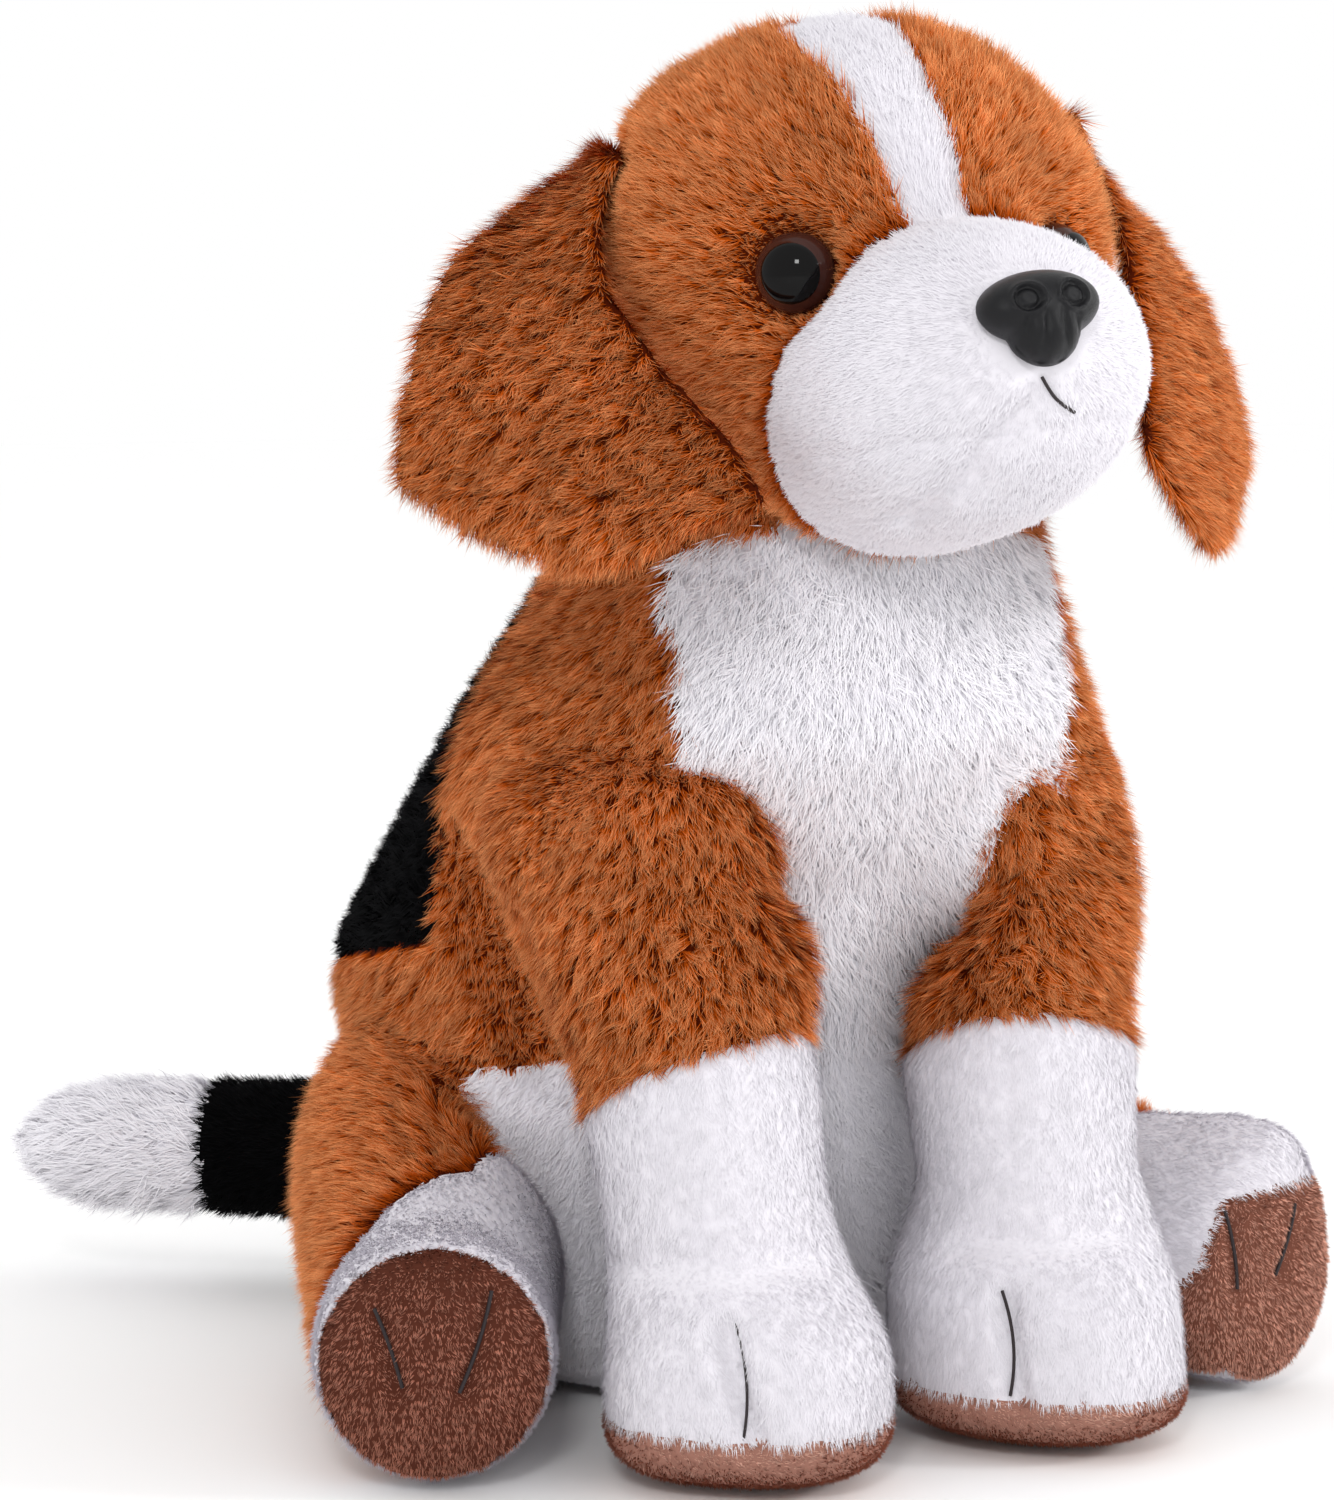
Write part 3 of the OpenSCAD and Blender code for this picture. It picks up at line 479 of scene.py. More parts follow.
SHORT_WHITE = {
    **PLAIN_PILE, "look": WHITE, "slot": "white_plush", "length": 2.6, "lean": 74, "density": 4.5,
    "width": 0.34, "tuft": 1.6, "gather": 0.1, "tuft_turn": 0.2, "stray": 0.2, "lift": 0.07,
    "twist": 0.06, "soft": 1.0,
}
BLAZE_WHITE = {**SHORT_WHITE, "length": 4}
CURLY_BLACK = {
    **PLAIN_PILE, "look": SADDLE, "slot": "black_plush", "length": 4, "lean": 50, "density": 3.0,
    "width": 0.34, "tuft": 2.6, "gather": 0.5, "tuft_turn": 2.0, "stray": 0.5,
}
VELVET_BLACK = {
    **PLAIN_PILE, "look": BLACK, "slot": "black_plush", "length": 3.4, "lean": 50, "density": 3.2,
    "width": 0.32, "tuft": 2.0, "gather": 0.3,
}
SOLE_PILE = {
    **PLAIN_PILE, "look": SOLE_PAINTED_LIGHTER, "slot": "pad_plush", "length": 1.3, "lean": 50, "density": 4.5,
    "width": 0.28, "tuft": 1.2, "gather": 0.4, "twist": 0.4, "soft": 0.9, "rows": 0.3,
}
# the left pad wears the lighter copy of the pad pile, which is painted light
PAD_PILES = {"left": {**SOLE_PILE, "look": PAD_PAINTED_LIGHTER}, "right": {**SOLE_PILE, "look": PAD}}


# Pile: each hair is a thin blade of cloth, straight or with one bend

LEAST_ROOM = 0.1
UNEVEN = 0.22
UNEVEN_RANGE = (0.4, 1.6)
ROOT_DEPTH = 0.3
MIDDLE_PULL = 0.4
MIDDLE_WIDTH = 0.8
TUFT_WARP = 0.35
WARP_WAVE = 900
CELL_KEYS = np.array([73856093, 19349663, 83492791])
PATCH_WAVES = (110, 240, 480, 900)
PATCH_TINT = 0.2
TUFT_TINT = 0.12
HAIR_TINT = 0.13
TINT_RANGE = (0.03, 0.97)
ROW = 0.3
# places on the map: a blade's two root corners, its two middle ones and its tip, and a face of bare skin,
# which takes the root colour and with it the root's painted shade
BLADE_MAP = np.array([(-0.02, 0.12), (0.02, 0.12), (-0.015, 0.55), (0.015, 0.55), (0, 0.98)])
SKIN_MAP = [(0.02, 0.02), (0.10, 0.02), (0.06, 0.07)]


def within(tree, place):
    """Whether a place lies inside a closed skin, by the side of it that three looks meet."""
    looks = (Vector((0.30, 0.20, 0.93)), Vector((-0.85, 0.40, 0.34)), Vector((0.50, -0.80, -0.33)))
    met = [tree.ray_cast(place, look)[1] for look in looks]
    return sum(facing is not None and facing.dot(look) > 0 for facing, look in zip(met, looks)) > 1


def crowd(skins):
    """Leaves no pile where a skin lies inside another body, and less where it lies against one."""
    facing_reach = 8 * MM
    beside_reach = 5 * MM
    skin_trees = {name: skin.tree() for name, skin in skins.items()}
    for name, skin in skins.items():
        normals = skin.normals()
        share = np.ones(len(skin.points))
        # body and head are bare just before another skin starts, the limbs where they lie a little deep
        main = name in ("torso", "head")
        buried = (-0.4 if main else 2.5) * MM
        for other in skins:
            if other == name:
                continue
            low = skins[other].points.min(axis=0) - facing_reach
            high = skins[other].points.max(axis=0) + facing_reach
            close = ((skin.points > low) & (skin.points < high)).all(axis=1)
            for i in np.flatnonzero(close):
                place = Vector(skin.points[i])
                _, facing, _, far = skin_trees[other].find_nearest(place)
                inside = not other.startswith("ear_") and within(skin_trees[other], place)
                if (far if inside else -far) > buried:
                    share[i] = 0
                elif inside:
                    continue
                elif far < facing_reach and facing.dot(Vector(normals[i])) < -0.2:
                    share[i] = min(share[i], max(0.2, far / facing_reach))
                elif far < beside_reach and main:
                    share[i] = min(share[i], max(0.5, far / beside_reach))
        skin.shorten(share)


def hairs(skin, own, fur, rng):
    """Places for hairs on these faces, with the skin's normal and the room there."""
    a, b, c = (skin.points[own[:, k]] for k in range(3))
    area = np.linalg.norm(np.cross(b - a, c - a), axis=1) * (skin.room[own].max(axis=1) > LEAST_ROOM)
    count = int(area.sum() / 2 / MM ** 2 * fur["density"] * (1))
    pick = np.searchsorted(np.cumsum(area) / area.sum(), rng.random(count)).clip(0, len(own) - 1)
    u, v = rng.random(count), rng.random(count)
    over = u + v > 1
    u[over], v[over] = 1 - u[over], 1 - v[over]
    share = np.stack([1 - u - v, u, v], axis=1)
    corner = own[pick]
    room = (skin.room[corner] * share).sum(axis=1)
    grown = room > LEAST_ROOM
    share, corner = share[grown, :, None], corner[grown]
    root = (skin.points[corner] * share).sum(axis=1)
    n = unit((skin.normals()[corner] * share).sum(axis=1))
    return root, n, room[grown]


def tufts(root, size, rng):
    """The number of the tuft that each hair belongs to. Tufts are crooked cells of one size."""
    warp = sum(
        np.sin(root @ rng.normal(size=3) * WARP_WAVE + k)[:, None] * rng.normal(size=3) for k in range(4)
    ) * size * MM * TUFT_WARP
    cell = np.floor((root + warp) / (size * MM)).astype(np.int64)
    _, tuft = np.unique((cell * CELL_KEYS).sum(axis=1), return_inverse=True)
    return tuft


def scattered(tuft, by_tuft, by_hair, rng):
    """Random numbers, in part the same for the hairs of a tuft."""
    shared = rng.normal(size=tuft.max() + 1)[tuft] * by_tuft
    return shared + rng.normal(size=len(tuft)) * by_hair


def slanted(n, lie, lean):
    return np.cos(lean)[:, None] * n + np.sin(lean)[:, None] * lie


def gathered(points, tuft, pull):
    """Points drawn to the middle of their tuft, and kept off the floor."""
    size = np.bincount(tuft)[:, None]
    mean = np.stack([np.bincount(tuft, points[:, k]) for k in range(3)], axis=1) / size
    points = points + pull * (mean[tuft] - points)
    points[:, 2] = np.maximum(points[:, 2], FLOOR_GAP * MM)
    return points


def grow(skin, panel, fur, comb, seed):
    """A panel of the skin with its pile as one mesh. comb gives the direction that the hair lies in."""
    rng = np.random.default_rng(seed)
    own = skin.faces[skin.panel == skin.panels.index(panel)]
    root, n, room = hairs(skin, own, fur, rng)
    length = fur["length"] * MM * room * (1 + UNEVEN * rng.normal(size=len(root))).clip(*UNEVEN_RANGE)
    tuft = tufts(root, fur["tuft"], rng)
    # where each hair runs
    lie = comb(root)
    lie = unit(lie - (lie * n).sum(axis=1, keepdims=True) * n)
    turn = scattered(tuft, fur["tuft_turn"], fur["stray"], rng)
    lie = lie * np.cos(turn)[:, None] + np.cross(n, lie) * np.sin(turn)[:, None]
    lean = np.radians(fur["lean"]) + scattered(tuft, fur["lift"], fur["lift"], rng)
    half = (length / 2)[:, None]
    middle = root + half * slanted(n, lie, lean - fur["bend"])
    tip = middle + half * slanted(n, lie, lean + fur["bend"])
    middle = gathered(middle, tuft, fur["gather"] * MIDDLE_PULL)
    tip = gathered(tip, tuft, fur["gather"])
    # its blade
    start = root - ROOT_DEPTH * MM * n
    way = unit(tip - start)
    across = unit(np.cross(way, n))
    twist = rng.normal(size=len(root)) * fur["twist"]
    across = across * np.cos(twist)[:, None] + np.cross(way, across) * np.sin(twist)[:, None]
    facing = np.cross(across, way)
    flip = np.where((facing * n).sum(axis=1) < 0, -1, 1)[:, None]
    wide = across * flip * (fur["width"] * MM / 2 * 1)
    blade = [start - wide, start + wide]
    if fur["bend"]:
        blade += [middle - MIDDLE_WIDTH * wide, middle + MIDDLE_WIDTH * wide]
    blade.append(tip)
    soft = unit(fur["soft"] * n + (1 - fur["soft"]) * facing * flip)
    # dull and bright hairs, in patches, by tufts and one by one
    waves = [np.sin(root @ rng.normal(size=3) * wave + k) for k, wave in enumerate(PATCH_WAVES)]
    tint = 0.5 + PATCH_TINT * sum(waves) / len(waves) + scattered(tuft, TUFT_TINT, HAIR_TINT, rng)
    tint = (tint + fur["rows"] * np.sin(root[:, 2] / (ROW * MM))).clip(*TINT_RANGE)
    return write_pile(panel + "_pile", skin, own, np.stack(blade, axis=1), soft, tint, fur["look"])


def write_pile(name, skin, own, blades, soft, tint, look):
    """One mesh of the bare skin and its hairs. The map's height runs from root to tip, its width by tint."""
    used, local = np.unique(own, return_inverse=True)
    local = local.reshape(-1, 3)
    count, corners_each = blades.shape[:2]
    if corners_each == len(BLADE_MAP):
        turns, spots = [[0, 1, 3, 2], [2, 3, 4]], BLADE_MAP
    else:
        turns, spots = [[0, 1, 2]], BLADE_MAP[[0, 1, 4]]
    first = len(used) + corners_each * np.arange(count)[:, None]
    corners = np.concatenate([local.ravel()] + [(first + np.array(turn)).ravel() for turn in turns])
    sizes = np.concatenate([np.full(len(local), 3)] + [np.full(count, len(turn)) for turn in turns])
    places = [np.tile(np.ravel(SKIN_MAP), len(local))]
    for turn in turns:
        across, up = spots[turn].T
        places.append(np.stack([tint[:, None] + across, np.tile(up, (count, 1))], axis=2).ravel())
    mesh = bpy.data.meshes.new(name)
    mesh.vertices.add(len(used) + count * corners_each)
    mesh.vertices.foreach_set(
        "co", np.concatenate([skin.points[used].ravel(), blades.ravel()]).astype(np.float32)
    )
    mesh.loops.add(len(corners))
    mesh.loops.foreach_set("vertex_index", corners.astype(np.int32))
    mesh.polygons.add(len(sizes))
    mesh.polygons.foreach_set("loop_start", (np.cumsum(sizes) - sizes).astype(np.int32))
    mesh.polygons.foreach_set("loop_total", sizes.astype(np.int32))
    mesh.polygons.foreach_set("use_smooth", np.ones(len(sizes), bool))
    mesh.uv_layers.new(name="OFBake").data.foreach_set("uv", np.concatenate(places).astype(np.float32))
    mesh.update()
    mesh.validate()
    mesh.normals_split_custom_set_from_vertices(
        np.concatenate([skin.normals()[used], np.repeat(soft, corners_each, axis=0)]).tolist()
    )
    mesh.materials.append(look)
    made = bpy.data.objects.new(name, mesh)
    bpy.context.collection.objects.link(made)
    return made


# Body, drawn in under the pile, with the folds that the sewing pulls

def chest_seams(p):
    """The chest's seams lie a little further in, and its white reaches up to the chin and to the left leg."""
    x, y, z = p.T / MM
    inward = np.where(x > 0, 6 * step(115, 140, z), -5 * step(100, 140, z))
    inward = inward * step(0, 20, np.abs(x)) * step(-20, -50, y)
    to_leg = 16 * step(8, 14, x) * step(62, 78, z) * step(122, 106, z) * step(-50, -58, y)
    to_chin = 8 * step(165, 180, z) * step(-60, -75, y)
    return p + np.stack([inward - to_leg, -to_chin, -to_chin], axis=1) * MM


torso_nodes = ["back_saddle", "flank_left", "flank_right", "chest_panel", "seat_panel"]
stuffed_body = joined(
    [copies("torso", torso_nodes + ["body_fill", "bean_bag"])]
    + [ball((s * SHOULDER[0], *SHOULDER[1:]), SHOULDER_R) for s in SIDES.values()]
    + [ball((s * HIP[0], *HIP[1:]), HIP_R, (HIP_HALF_WIDTH / HIP_R, 1, 1), s * HIP_TURN)
       for s in SIDES.values()]
    + [ball(TAIL_ROOT, TAIL_ROOT_R), ball(NECK, NECK_R)]
)
torso = Skin(
    softened(stuffed_body, voxel=3.5, rounds=16, finer=True), torso_nodes, {"back_saddle": 3}, chest_seams
)
# a full breast on the left, a full back on the right, and the crease between flank and right front leg
torso.widen(PICTURE_RIGHT, lambda z: 11 * step(95, 160, z) * step(212, 194, z), reach=60)
torso.widen(-PICTURE_RIGHT, lambda z: 7.5 * step(70, 100, z) * step(208, 192, z), reach=70)
torso.dent(
    on_toy((-68, -24, 122), (-64, -30, 105), (-61, -33, 93), (-58, -36, 83), (-54, -39, 75)),
    depth=8, width=6,
)
torso.sink(
    {"back_saddle": 2.6, "flank_left": 3.4, "flank_right": 3.4, "chest_panel": 3.6, "seat_panel": 1.5},
    seam=1.0,
)
skins = {"torso": torso}


# Head

MOUTH = on_head((-0.7, -88.5, -35.1), (3.4, -85.8, -37.2), (7.2, -83.9, -38.9))
UNDER_NOSE = on_head((-0.5, -89.6, -29.6), (-0.2, -86.7, -34.4))
LIP_FOLD = on_head(
    (-0.8, -88.4, -34.7), (-5.6, -82.4, -41.2), (-10.7, -78.5, -44.7), (-10.9, -71.0, -50.9),
    (-14.3, -63.4, -54.7), (-16.4, -48.6, -57.5),
)


def move_head_seams(head):
    """The brown cheeks reach forward over the muzzle, and the blaze lies to the right of the middle."""
    side_left, side_right, blaze, muzzle, _ = range(len(head.panels))
    x, y, z = in_frame(head.middles(), HEAD).T
    brown = np.where(x > 0, side_left, side_right)
    cheek = (head.panel >= muzzle) & (y > -50.8 - 0.564 * z)
    head.panel[cheek] = brown[cheek]
    # the blaze is narrower by the muzzle
    blaze_left = 5 + 0.2 * (z - 34).clip(0, None)
    blaze_right = -9.5 - 0.14 * (z - 8).clip(0, 36)
    white = (x < blaze_left) & (x > blaze_right)
    front = (head.panel < muzzle) & (y < -8) & (z > -8)
    head.panel[front] = np.where(white, blaze, brown)[front]


head_nodes = ["head_side_left", "head_side_right", "blaze", "muzzle", "chin"]
stuffed_head = copies("head", head_nodes + ["head_fill"])
head = Skin(softened(stuffed_head, voxel=3, rounds=18, finer=True), head_nodes)
move_head_seams(head)
head.widen(-PICTURE_RIGHT, lambda z: 4 * step(225, 255, z) * step(305, 280, z), reach=50)
head.sink(
    {"head_side_left": 3.4, "head_side_right": 3.4, "blaze": 2.8, "muzzle": 1.6, "chin": 1.6}, seam=1.2
)
head.dent(UNDER_NOSE, depth=4, width=2.2)
head.dent(MOUTH, depth=1.2, width=1.6)
head.dent(LIP_FOLD, depth=4.5, width=3.5)
for place in EYES.values():
    head.dent([place.translation, place @ Vector((0, 0, MM))], depth=5, width=11)
skins["head"] = head


# Ears and legs

EAR_INWARD = 0.657
EAR_FORWARD = 0.754
EAR_WIDTH = 55


def hang_ear(ear, side, s):
    """Both ears are full at the top. The right one spreads over the cheek, the left one hangs back."""
    x, y, z = ear.points.T / MM
    across = ((-EAR_INWARD * s * x - EAR_FORWARD * y + 10) / EAR_WIDTH).clip(0, 1)
    ahead = -6 * (1 - across) * np.exp(-((z - 250) / 20) ** 2)
    lift, back = 0 * z, 8 * step(255, 205, z)
    if side == "right":
        # its hem is drawn up, with a round corner in front
        corner = step(0.4, 1, across) * step(208, 182, z)
        lift, back = 7 * step(206, 180, z) + 3 * corner, 0 * z
        ahead = ahead + 13 * across * step(262, 200, z) - 10 * corner
    ear.points += np.stack([-EAR_INWARD * s * ahead, back - EAR_FORWARD * ahead, lift], axis=1) * MM


def shape_hind_foot(leg, side):
    """The white of the foot runs further back on the inner side."""
    thigh, foot, pad = range(len(leg.panels))
    x, y, z = in_frame(leg.middles(), HIND[side]).T
    leg.panel[(leg.panel == thigh) & (x < -6) & (z > 66 + 2 * (x + 6))] = foot
    if side == "left":
        # this pad reaches round the foot's edge, and the white above it stands up on the outer side
        leg.panel[(leg.panel == foot) & (x < -14) & (z > 91 + (y - 22).clip(0, None))] = pad
        leg.panel[(leg.panel == pad) & (y > 46 - 6 * step(-22, 18, x))] = foot
        x, y, z = in_frame(leg.points, HIND[side]).T
        leg.points[:, 2] += 10 * step(-22, 18, x) * step(24, 50, y) * step(58, 88, z) * MM


for side, s in SIDES.items():
    nodes = ["ear_outer_" + side, "ear_lining_" + side]
    flap = copies("ear", nodes + ["ear_roll_" + side])
    skins["ear_" + side] = Skin(softened(flap, voxel=1.3, rounds=8, finer=False), nodes)
    hang_ear(skins["ear_" + side], side, s)

    nodes = ["sleeve_" + side, "sock_" + side, "sole_" + side]
    stuffed_leg = copies("leg", nodes + ["fore_fill_" + side])
    leg = Skin(softened(stuffed_leg, voxel=3, rounds=12, finer=True), nodes, {"sole_" + side: 3.5})
    leg.sink(dict(zip(nodes, (3.4, 1.6, 1.0))), seam=1.0)
    skins["fore_leg_" + side] = leg

    nodes = ["thigh_" + side, "foot_" + side, "pad_" + side]
    stuffed_leg = copies("leg", nodes + ["hind_fill_" + side])
    leg = Skin(softened(stuffed_leg, voxel=3, rounds=12, finer=True), nodes, {"pad_" + side: 2.5})
    shape_hind_foot(leg, side)
    leg.sink(dict(zip(nodes, (3.4, 1.8, 0.7))), seam=1.2)
    skins["hind_leg_" + side] = leg


# Toes, ankles and leg seams

RIGHT_TOE = on_toy((-52.3, -121.7, 36.0), (-51.6, -126.0, 24.8), (-49.8, -128.9, 15.2))
RIGHT_ANKLE = on_toy(
    (-62.0, -85.7, 43.1), (-56.2, -110.4, 45.8), (-45.4, -117.5, 46.5), (-29.9, -116.6, 48.0)
)
RIGHT_SEAM = on_toy((-39.1, -105.2, 89.3), (-41.6, -110.1, 64.0), (-47.7, -121.9, 39.6))
LEFT_TOE = on_toy((15.7, -115.2, 35.2), (15.4, -117.7, 25.3), (15.6, -119.6, 15.3))
LEFT_ANKLE = on_toy((12.4, -102.4, 43.5), (27.2, -117.6, 46.0), (43.1, -117.2, 47.6))
LEFT_SEAM = on_toy((23.4, -101.4, 85.3), (21.5, -105.0, 63.1), (16.3, -114.0, 38.0))
PAD_LINES = {
    "right": [on_toy((-111.7, -86.6, 38.9), (-110.6, -89.0, 31), (-109.1, -90.3, 23.3)),
              on_toy((-90.4, -94.7, 42.5), (-93, -95.6, 33), (-96.6, -96.0, 23.2))],
    "left": [on_toy((83.9, -94.3, 43.1), (83.8, -96.6, 35), (84.1, -98.2, 26.4)),
             on_toy((103.5, -89.5, 42.0), (101.5, -92.5, 36), (97.2, -95.8, 28.2))],
}

right_leg, left_leg = skins["fore_leg_right"], skins["fore_leg_left"]
# the right paw bulges in front and at both sides
right_leg.dent(on_toy((-29, -128, 24), (-30, -129, 20)), depth=-3.5, width=14)
right_leg.dent(on_toy((-17, -112, 22), (-17, -112, 16)), depth=-4, width=14)
right_leg.dent(on_toy((-64, -104, 22), (-64, -104, 16)), depth=-4, width=14)
right_leg.dent(RIGHT_TOE, depth=5, width=3.2)
right_leg.dent(RIGHT_ANKLE, depth=1.6, width=4)
right_leg.dent(RIGHT_SEAM, depth=0.6, width=1.6)
right_leg.widen(PICTURE_RIGHT, lambda z: 5 * step(82, 105, z), reach=40)
# the left paw is wide, and the sleeve above it stands further out
left_leg.widen(-PICTURE_RIGHT, lambda z: 8 * step(55, 30, z), reach=30)
left_leg.widen(PICTURE_RIGHT, lambda z: 6 * step(85, 120, z), reach=40)
left_leg.widen(-PICTURE_RIGHT, lambda z: -2 * step(76, 84, z) - 11 * step(90, 110, z), reach=45)
left_leg.dent(LEFT_TOE, depth=3.4, width=2.8)
left_leg.dent(LEFT_ANKLE, depth=1.6, width=4)
left_leg.dent(LEFT_SEAM, depth=0.6, width=1.6)
for side, lines in PAD_LINES.items():
    for line in lines:
        skins["hind_leg_" + side].dent(line, depth=2.2, width=2.0)
        skins["hind_leg_" + side].press(line[-1], depth=1.0, width=2.5)


# Tail

nodes = ["tail_band", "tail_tip"]
stuffed_tail = copies("tail", nodes + ["tail_fill"])
skins["tail"] = Skin(softened(stuffed_tail, voxel=3, rounds=12, finer=True), nodes)
skins["tail"].sink({"tail_band": 2.2, "tail_tip": 3.2}, seam=0.6)


# Where the pile is short or missing

crowd(skins)
_, y, z = torso.points.T / MM
torso.shorten(1 - 0.4 * step(195, 215, z))
belly = (z < 80) & (y < -12)
torso.shorten(np.where(belly, 0.5, 1))
in_collar = (head.far_from(Vector(NECK) * MM) < NECK_R + 3) & (head.points[:, 2] > 192 * MM)
head.shorten(np.where(in_collar, 0, 1))
for place in EYES.values():
    head.shorten(((head.far_from(place.translation) - 7) / 8).clip(0, 1))
head.shorten(((head.far_from(NOSE.translation) - 9) / 4).clip(0, 1))


# Pile on every panel

def towards(x, y, z):
    return lambda p: np.tile(np.array([x, y, z], float), (len(p), 1))


def from_nose(p):
    return p - np.array(NOSE.translation)


def down_chest(p):
    return np.stack([p[:, 0] * 18, np.full(len(p), -0.2), np.full(len(p), -1.0)], axis=1)


def cover(body, panel, fur, comb, seed, *inside):
    """A panel with its pile, which stands for its own solid and for the stuffing named after it."""
    made = grow(skins[body], panel, fur, comb, seed)
    placed(made, body, fur["slot"], panel, *inside)


cover("torso", "back_saddle", CURLY_BLACK, towards(0, 0.4, -1), 14)
cover("torso", "chest_panel", SHAGGY_WHITE, down_chest, 15, "body_fill")
cover("torso", "seat_panel", SHORT_WHITE, towards(0, 1, 0), 16, "bean_bag")
cover("head", "blaze", BLAZE_WHITE, from_nose, 24, "head_fill")
cover("head", "muzzle", SHORT_WHITE, from_nose, 25)
cover("head", "chin", SHORT_WHITE, from_nose, 26)

for side, s in SIDES.items():
    cover("torso", "flank_" + side, LONG_BROWN, towards(0.35 * s, 0.25, -1), 11 + s)
    cover("head", "head_side_" + side, LONG_BROWN, from_nose, 21 + s)

    ear = "ear_" + side
    cover(ear, "ear_outer_" + side, EAR_BROWN, towards(0.5 * s, 0, -1), 31 + s, "ear_roll_" + side)
    cover(ear, "ear_lining_" + side, EAR_BROWN, towards(0.5 * s, 0, -1), 34 + s)

    leg = "fore_leg_" + side
    cover(leg, "sleeve_" + side, LONG_BROWN, towards(0.25 * s, -0.1, -1), 41 + s, "fore_fill_" + side)
    cover(leg, "sock_" + side, SHORT_WHITE, towards(0, -0.3, -1), 44 + s)
    cover(leg, "sole_" + side, SOLE_PILE, towards(0, -1, 0), 47 + s)

    leg = "hind_leg_" + side
    out = HIND[side].to_3x3() @ Vector((0, 0, 1))
    cover(leg, "thigh_" + side, LONG_BROWN, towards(0.2 * s, 0.6, -1), 51 + s, "hind_fill_" + side)
    cover(leg, "foot_" + side, SHORT_WHITE, towards(out.x, out.y, -0.2), 54 + s)
    cover(leg, "pad_" + side, PAD_PILES[side], towards(0, 0, -1), 57 + s)

cover("tail", "tail_band", VELVET_BLACK, towards(*TAIL_DIRECTION), 61, "tail_fill")
cover("tail", "tail_tip", TAIL_WHITE, towards(*TAIL_DIRECTION), 62)


# Stuffing in the neck, drawn in under the neck's skin

PLUG_MIDDLE = 164
plug = softened(copies("neck_plug_fill", ["neck_plug"]), voxel=3, rounds=4, finer=False)
smaller = Matrix.Diagonal((0.9, 0.9, 0.85, 1))
plug.data.transform(moved(0, 0, PLUG_MIDDLE) @ smaller @ moved(0, 0, -PLUG_MIDDLE))
coated(plug, STUFFING)
placed(plug, "neck", "stuffing", "neck_plug")


# Eyes, in millimetres and shares of their radius

EYE_R = 8
EYE_RISE = 6.4
EYE_STEP = 0.5
EYE_RING_FROM = 0.74
WASHER_BACK = 2.5


def dome(name, rings):
    """Front half of a ball of radius 1 about Z, to be shaped."""
    bpy.ops.object.select_all(action="DESELECT")
    bpy.ops.mesh.primitive_uv_sphere_add(segments=64, ring_count=rings, radius=1)
    made = bpy.context.object
    made.name = name
    bpy.ops.object.mode_set(mode="EDIT")
    bpy.ops.mesh.select_all(action="SELECT")
    bpy.ops.mesh.bisect(plane_co=(0, 0, -0.2), plane_no=(0, 0, 1), clear_inner=True, use_fill=True)
    bpy.ops.object.mode_set(mode="OBJECT")
    return made


def points_of(made):
    points = np.zeros(len(made.data.vertices) * 3)
    made.data.vertices.foreach_get("co", points)
    return points.reshape(-1, 3)


def reshape(made, points, place):
    """Gives the mesh these points in millimetres, laid at a place on the toy."""
    made.data.vertices.foreach_set("co", (points * MM).astype(np.float32).ravel())
    made.data.transform(place)
    made.data.update()
    if place.determinant() < 0:
        made.data.flip_normals()
    only(made)
    bpy.ops.object.shade_smooth()


for side in SIDES:
    eye = dome("eye_dome_" + side, 48)
    coated(eye, EYE_BLACK, EYE_RING)
    for face in eye.data.polygons:
        x, y, z = face.center
        face.material_index = int(math.hypot(x, y) > EYE_RING_FROM and z < 0.75)
    # the black stands a step out of its ring
    x, y, z = points_of(eye).T
    raised = EYE_STEP * step(0.80, 0.70, np.hypot(x, y))
    reshape(eye, np.stack([EYE_R * x, EYE_R * y, EYE_RISE * z + raised], axis=1), EYES[side])
    placed(eye, "head", "eye_plastic", "eye_" + side)

for side, s in SIDES.items():
    washer = copies("eye_washer_ring_" + side, ["eye_washer_" + side])
    to_plain = (HEAD @ mirrored(s) @ PLAIN_EYE).inverted()
    washer.data.transform(HEAD @ mirrored(s) @ EYE_PLACES[side] @ moved(0, WASHER_BACK, 0) @ to_plain)
    coated(washer, WASHER)
    placed(washer, "head", "washer_plastic", "eye_washer_" + side)


# Nose, in millimetres: an oval with a lip under it, two nostrils and four grooves

OVAL_HALF_WIDTH = 12.5
OVAL_HALF_HEIGHT = 7.5
OVAL_MIDDLE = 2.5
LIP_HALF_WIDTH = 7.2
LIP_DEPTH = 7
LIP_TOP = -3
NOSE_MIDDLE = 1.5
NOSE_HALF_HEIGHT = 10
NOSE_FRONT = 8.5
NOSE_BACK = 8
BACK_RIM = 0.94
NOSTRIL = (4.7, 2.6)
GROOVES = (-5.2, -1.9, 1.9, 5.2)
GROOVE_DEPTH = 0.8
GROOVE_WIDTH = 0.55
NOSE_SQUEEZE = 0.93
NOSE_RAISE = 0.4


def nose_half_width(y):
    oval = OVAL_HALF_WIDTH * np.sqrt((1 - ((y - OVAL_MIDDLE) / OVAL_HALF_HEIGHT) ** 2).clip(0, 1))
    below = (np.minimum(y, LIP_TOP) - LIP_TOP) / LIP_DEPTH
    lip = LIP_HALF_WIDTH * np.sqrt((1 - below ** 2).clip(0, 1)) * (y < OVAL_MIDDLE)
    return np.maximum(oval, lip)


def nose_reach(turn):
    """Distance of the nose's rim from its middle in this direction."""
    reach = np.linspace(0.5, 16, 400)
    y = NOSE_MIDDLE + reach * math.sin(turn)
    inside = (np.abs(reach * math.cos(turn)) <= nose_half_width(y)) & (np.abs(y) < NOSE_HALF_HEIGHT)
    return reach[inside].max()


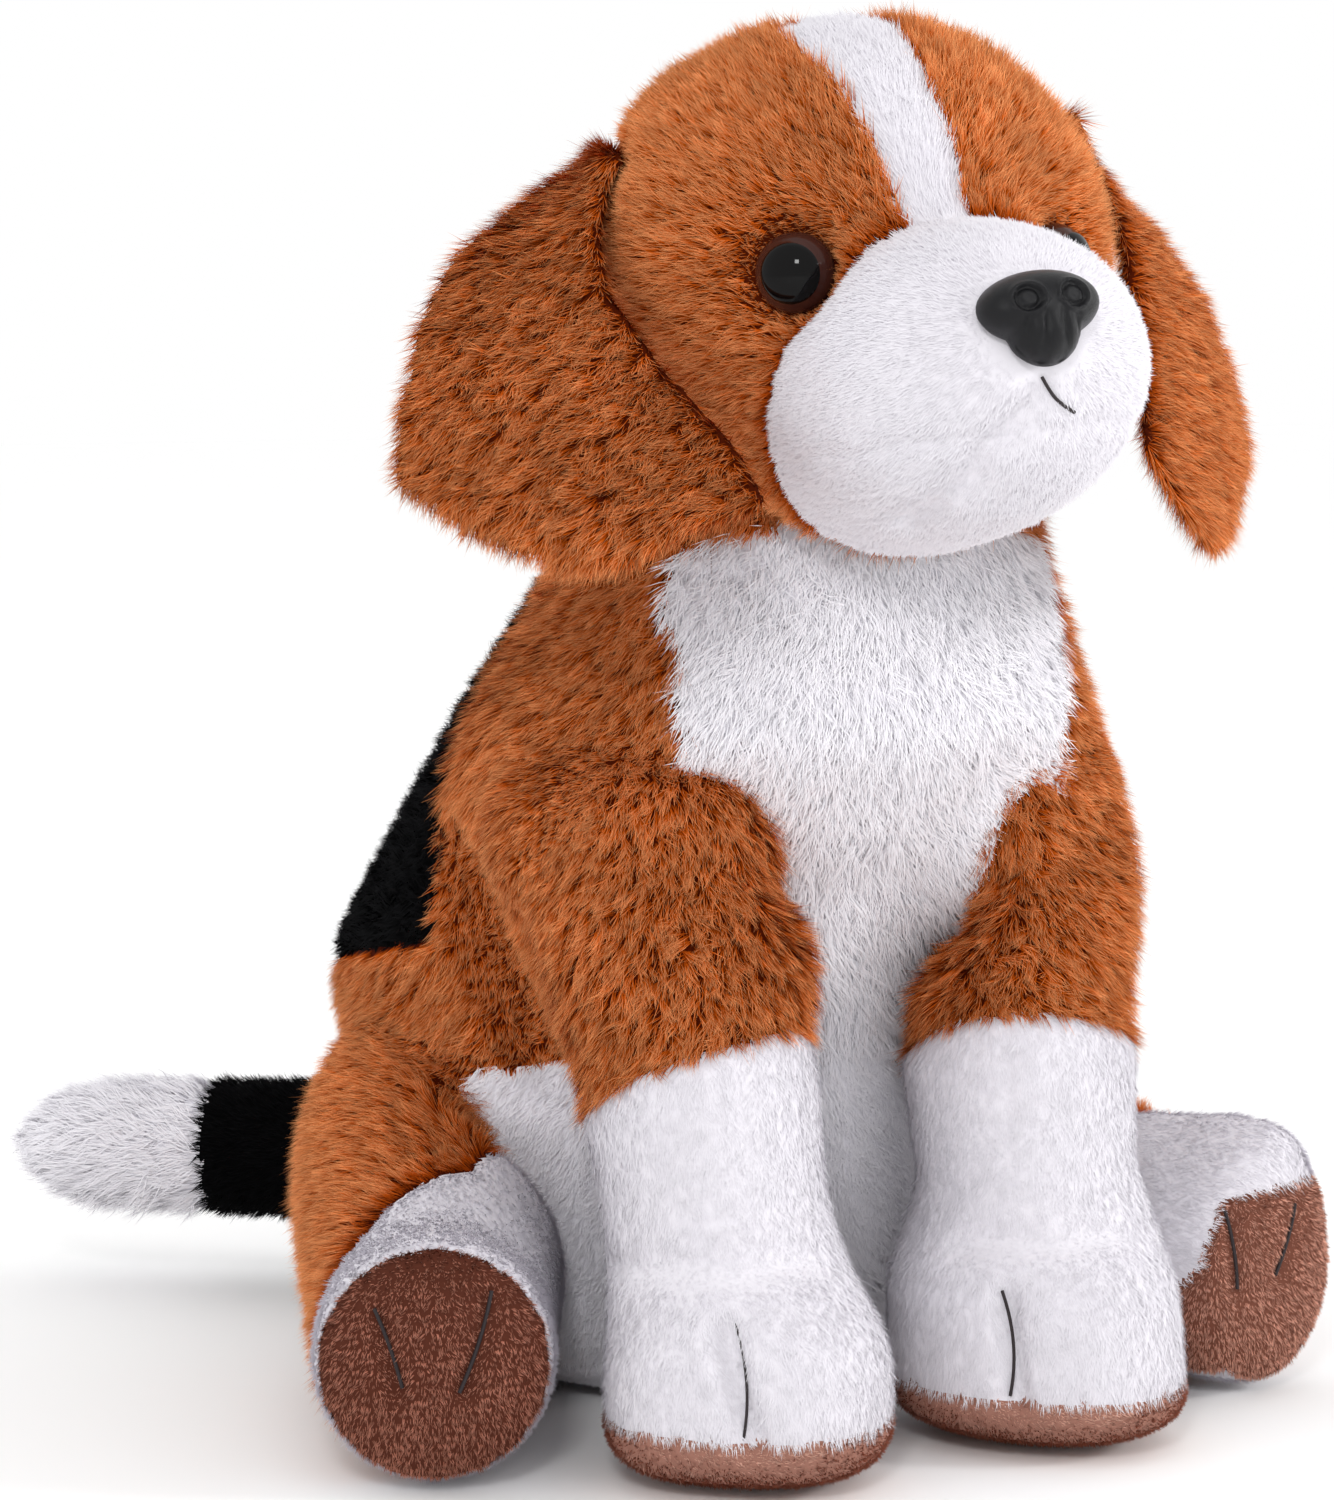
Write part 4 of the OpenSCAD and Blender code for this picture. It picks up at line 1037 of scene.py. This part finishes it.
nose = dome("nose_rubber", 64)
x, y, z = points_of(nose).T
out, turn, behind, front = np.hypot(x, y), np.arctan2(y, x), z < 0, z > 0.15
rim = np.array([nose_reach(t) for t in turn]) * np.where(behind, BACK_RIM, 1)
x = out * rim * np.cos(turn)
y = NOSE_MIDDLE + out * rim * np.sin(turn)
z = np.where(behind, z * NOSE_BACK, NOSE_FRONT * (1 - out.clip(0, 1) ** 2.6) ** 0.5)
for s in SIDES.values():
    # a ring pressed round each nostril, with a raised edge and a hollow
    far = np.hypot(x - s * NOSTRIL[0], y - NOSTRIL[1])
    z = z - 1.1 * np.exp(-((far - 2.3) / 0.55) ** 2) + 0.5 * np.exp(-((far - 3.2) / 0.5) ** 2)
    z = z - 0.5 * np.exp(-(far / 1.6) ** 4)
for groove in GROOVES:
    bent = groove * (1 + 0.25 * step(-3, -9, y))
    pressed = GROOVE_DEPTH * step(0.5, -3.0, y)
    z = z - pressed * np.exp(-((x - bent) / GROOVE_WIDTH) ** 2) * front
reshape(nose, np.stack([x, NOSE_SQUEEZE * y + NOSE_RAISE, z], axis=1), NOSE)
coated(nose, nose_material())
placed(nose, "head", "nose_plastic", "nose")


# Stitches

def thread(name, lines, r, body, node):
    """Sewing thread along lines of points, in metres on the toy."""
    curve = bpy.data.curves.new(name, "CURVE")
    curve.dimensions = "3D"
    curve.bevel_depth = r * MM
    curve.bevel_resolution = 3
    curve.use_fill_caps = True
    for line in lines:
        spline = curve.splines.new("NURBS")
        spline.points.add(len(line) - 1)
        for point, place in zip(spline.points, line):
            point.co = (*place, 1)
        spline.use_endpoint_u = True
        spline.order_u = 3
    made = bpy.data.objects.new(name, curve)
    bpy.context.collection.objects.link(made)
    only(made)
    bpy.ops.object.convert(target="MESH")
    made = bpy.context.object
    coated(made, THREAD)
    placed(made, body, "thread", node)


mouth_line = on_head((-0.3, -87.2, -32.4)) + MOUTH
thread("mouth_thread", [head.laid(mouth_line, up=0.7)], 0.35, "head", "mouth_stitch")
for side, lines in PAD_LINES.items():
    leg = "hind_leg_" + side
    laid = [skins[leg].laid(line, up=0.4) for line in lines]
    thread("pad_thread_" + side, laid, 0.4, leg, "pad_stitch_" + side)
thread("paw_thread_right", [right_leg.laid(RIGHT_TOE, up=-0.2)], 0.3, "fore_leg_right", "paw_stitch_right")
thread("paw_thread_left", [left_leg.laid(LEFT_TOE, up=0.5)], 0.35, "fore_leg_left", "paw_stitch_left")


# Floor and light, in metres and watts

LIT_PLACE = (0, -0.05, 0.14)

bpy.ops.object.select_all(action="DESELECT")
bpy.ops.mesh.primitive_plane_add(size=12)
floor = bpy.context.object
floor.name = "floor"
floor.data.materials.append(PAPER)

world = bpy.data.worlds.new("studio")
world.use_nodes = True
world.node_tree.nodes["Background"].inputs["Color"].default_value = (1, 1, 1, 1)
world.node_tree.nodes["Background"].inputs["Strength"].default_value = 1.0
bpy.context.scene.world = world


def softbox(name, place, size, power):
    lamp = bpy.data.objects.new(name, bpy.data.lights.new(name, "AREA"))
    lamp.data.size = size
    lamp.data.energy = power
    aimed(lamp, place, LIT_PLACE)


softbox("right softbox", (1.08, -0.88, 0.62), size=0.26, power=6.2)
softbox("left softbox", (-0.75, -1.2, 0.85), size=0.22, power=5)
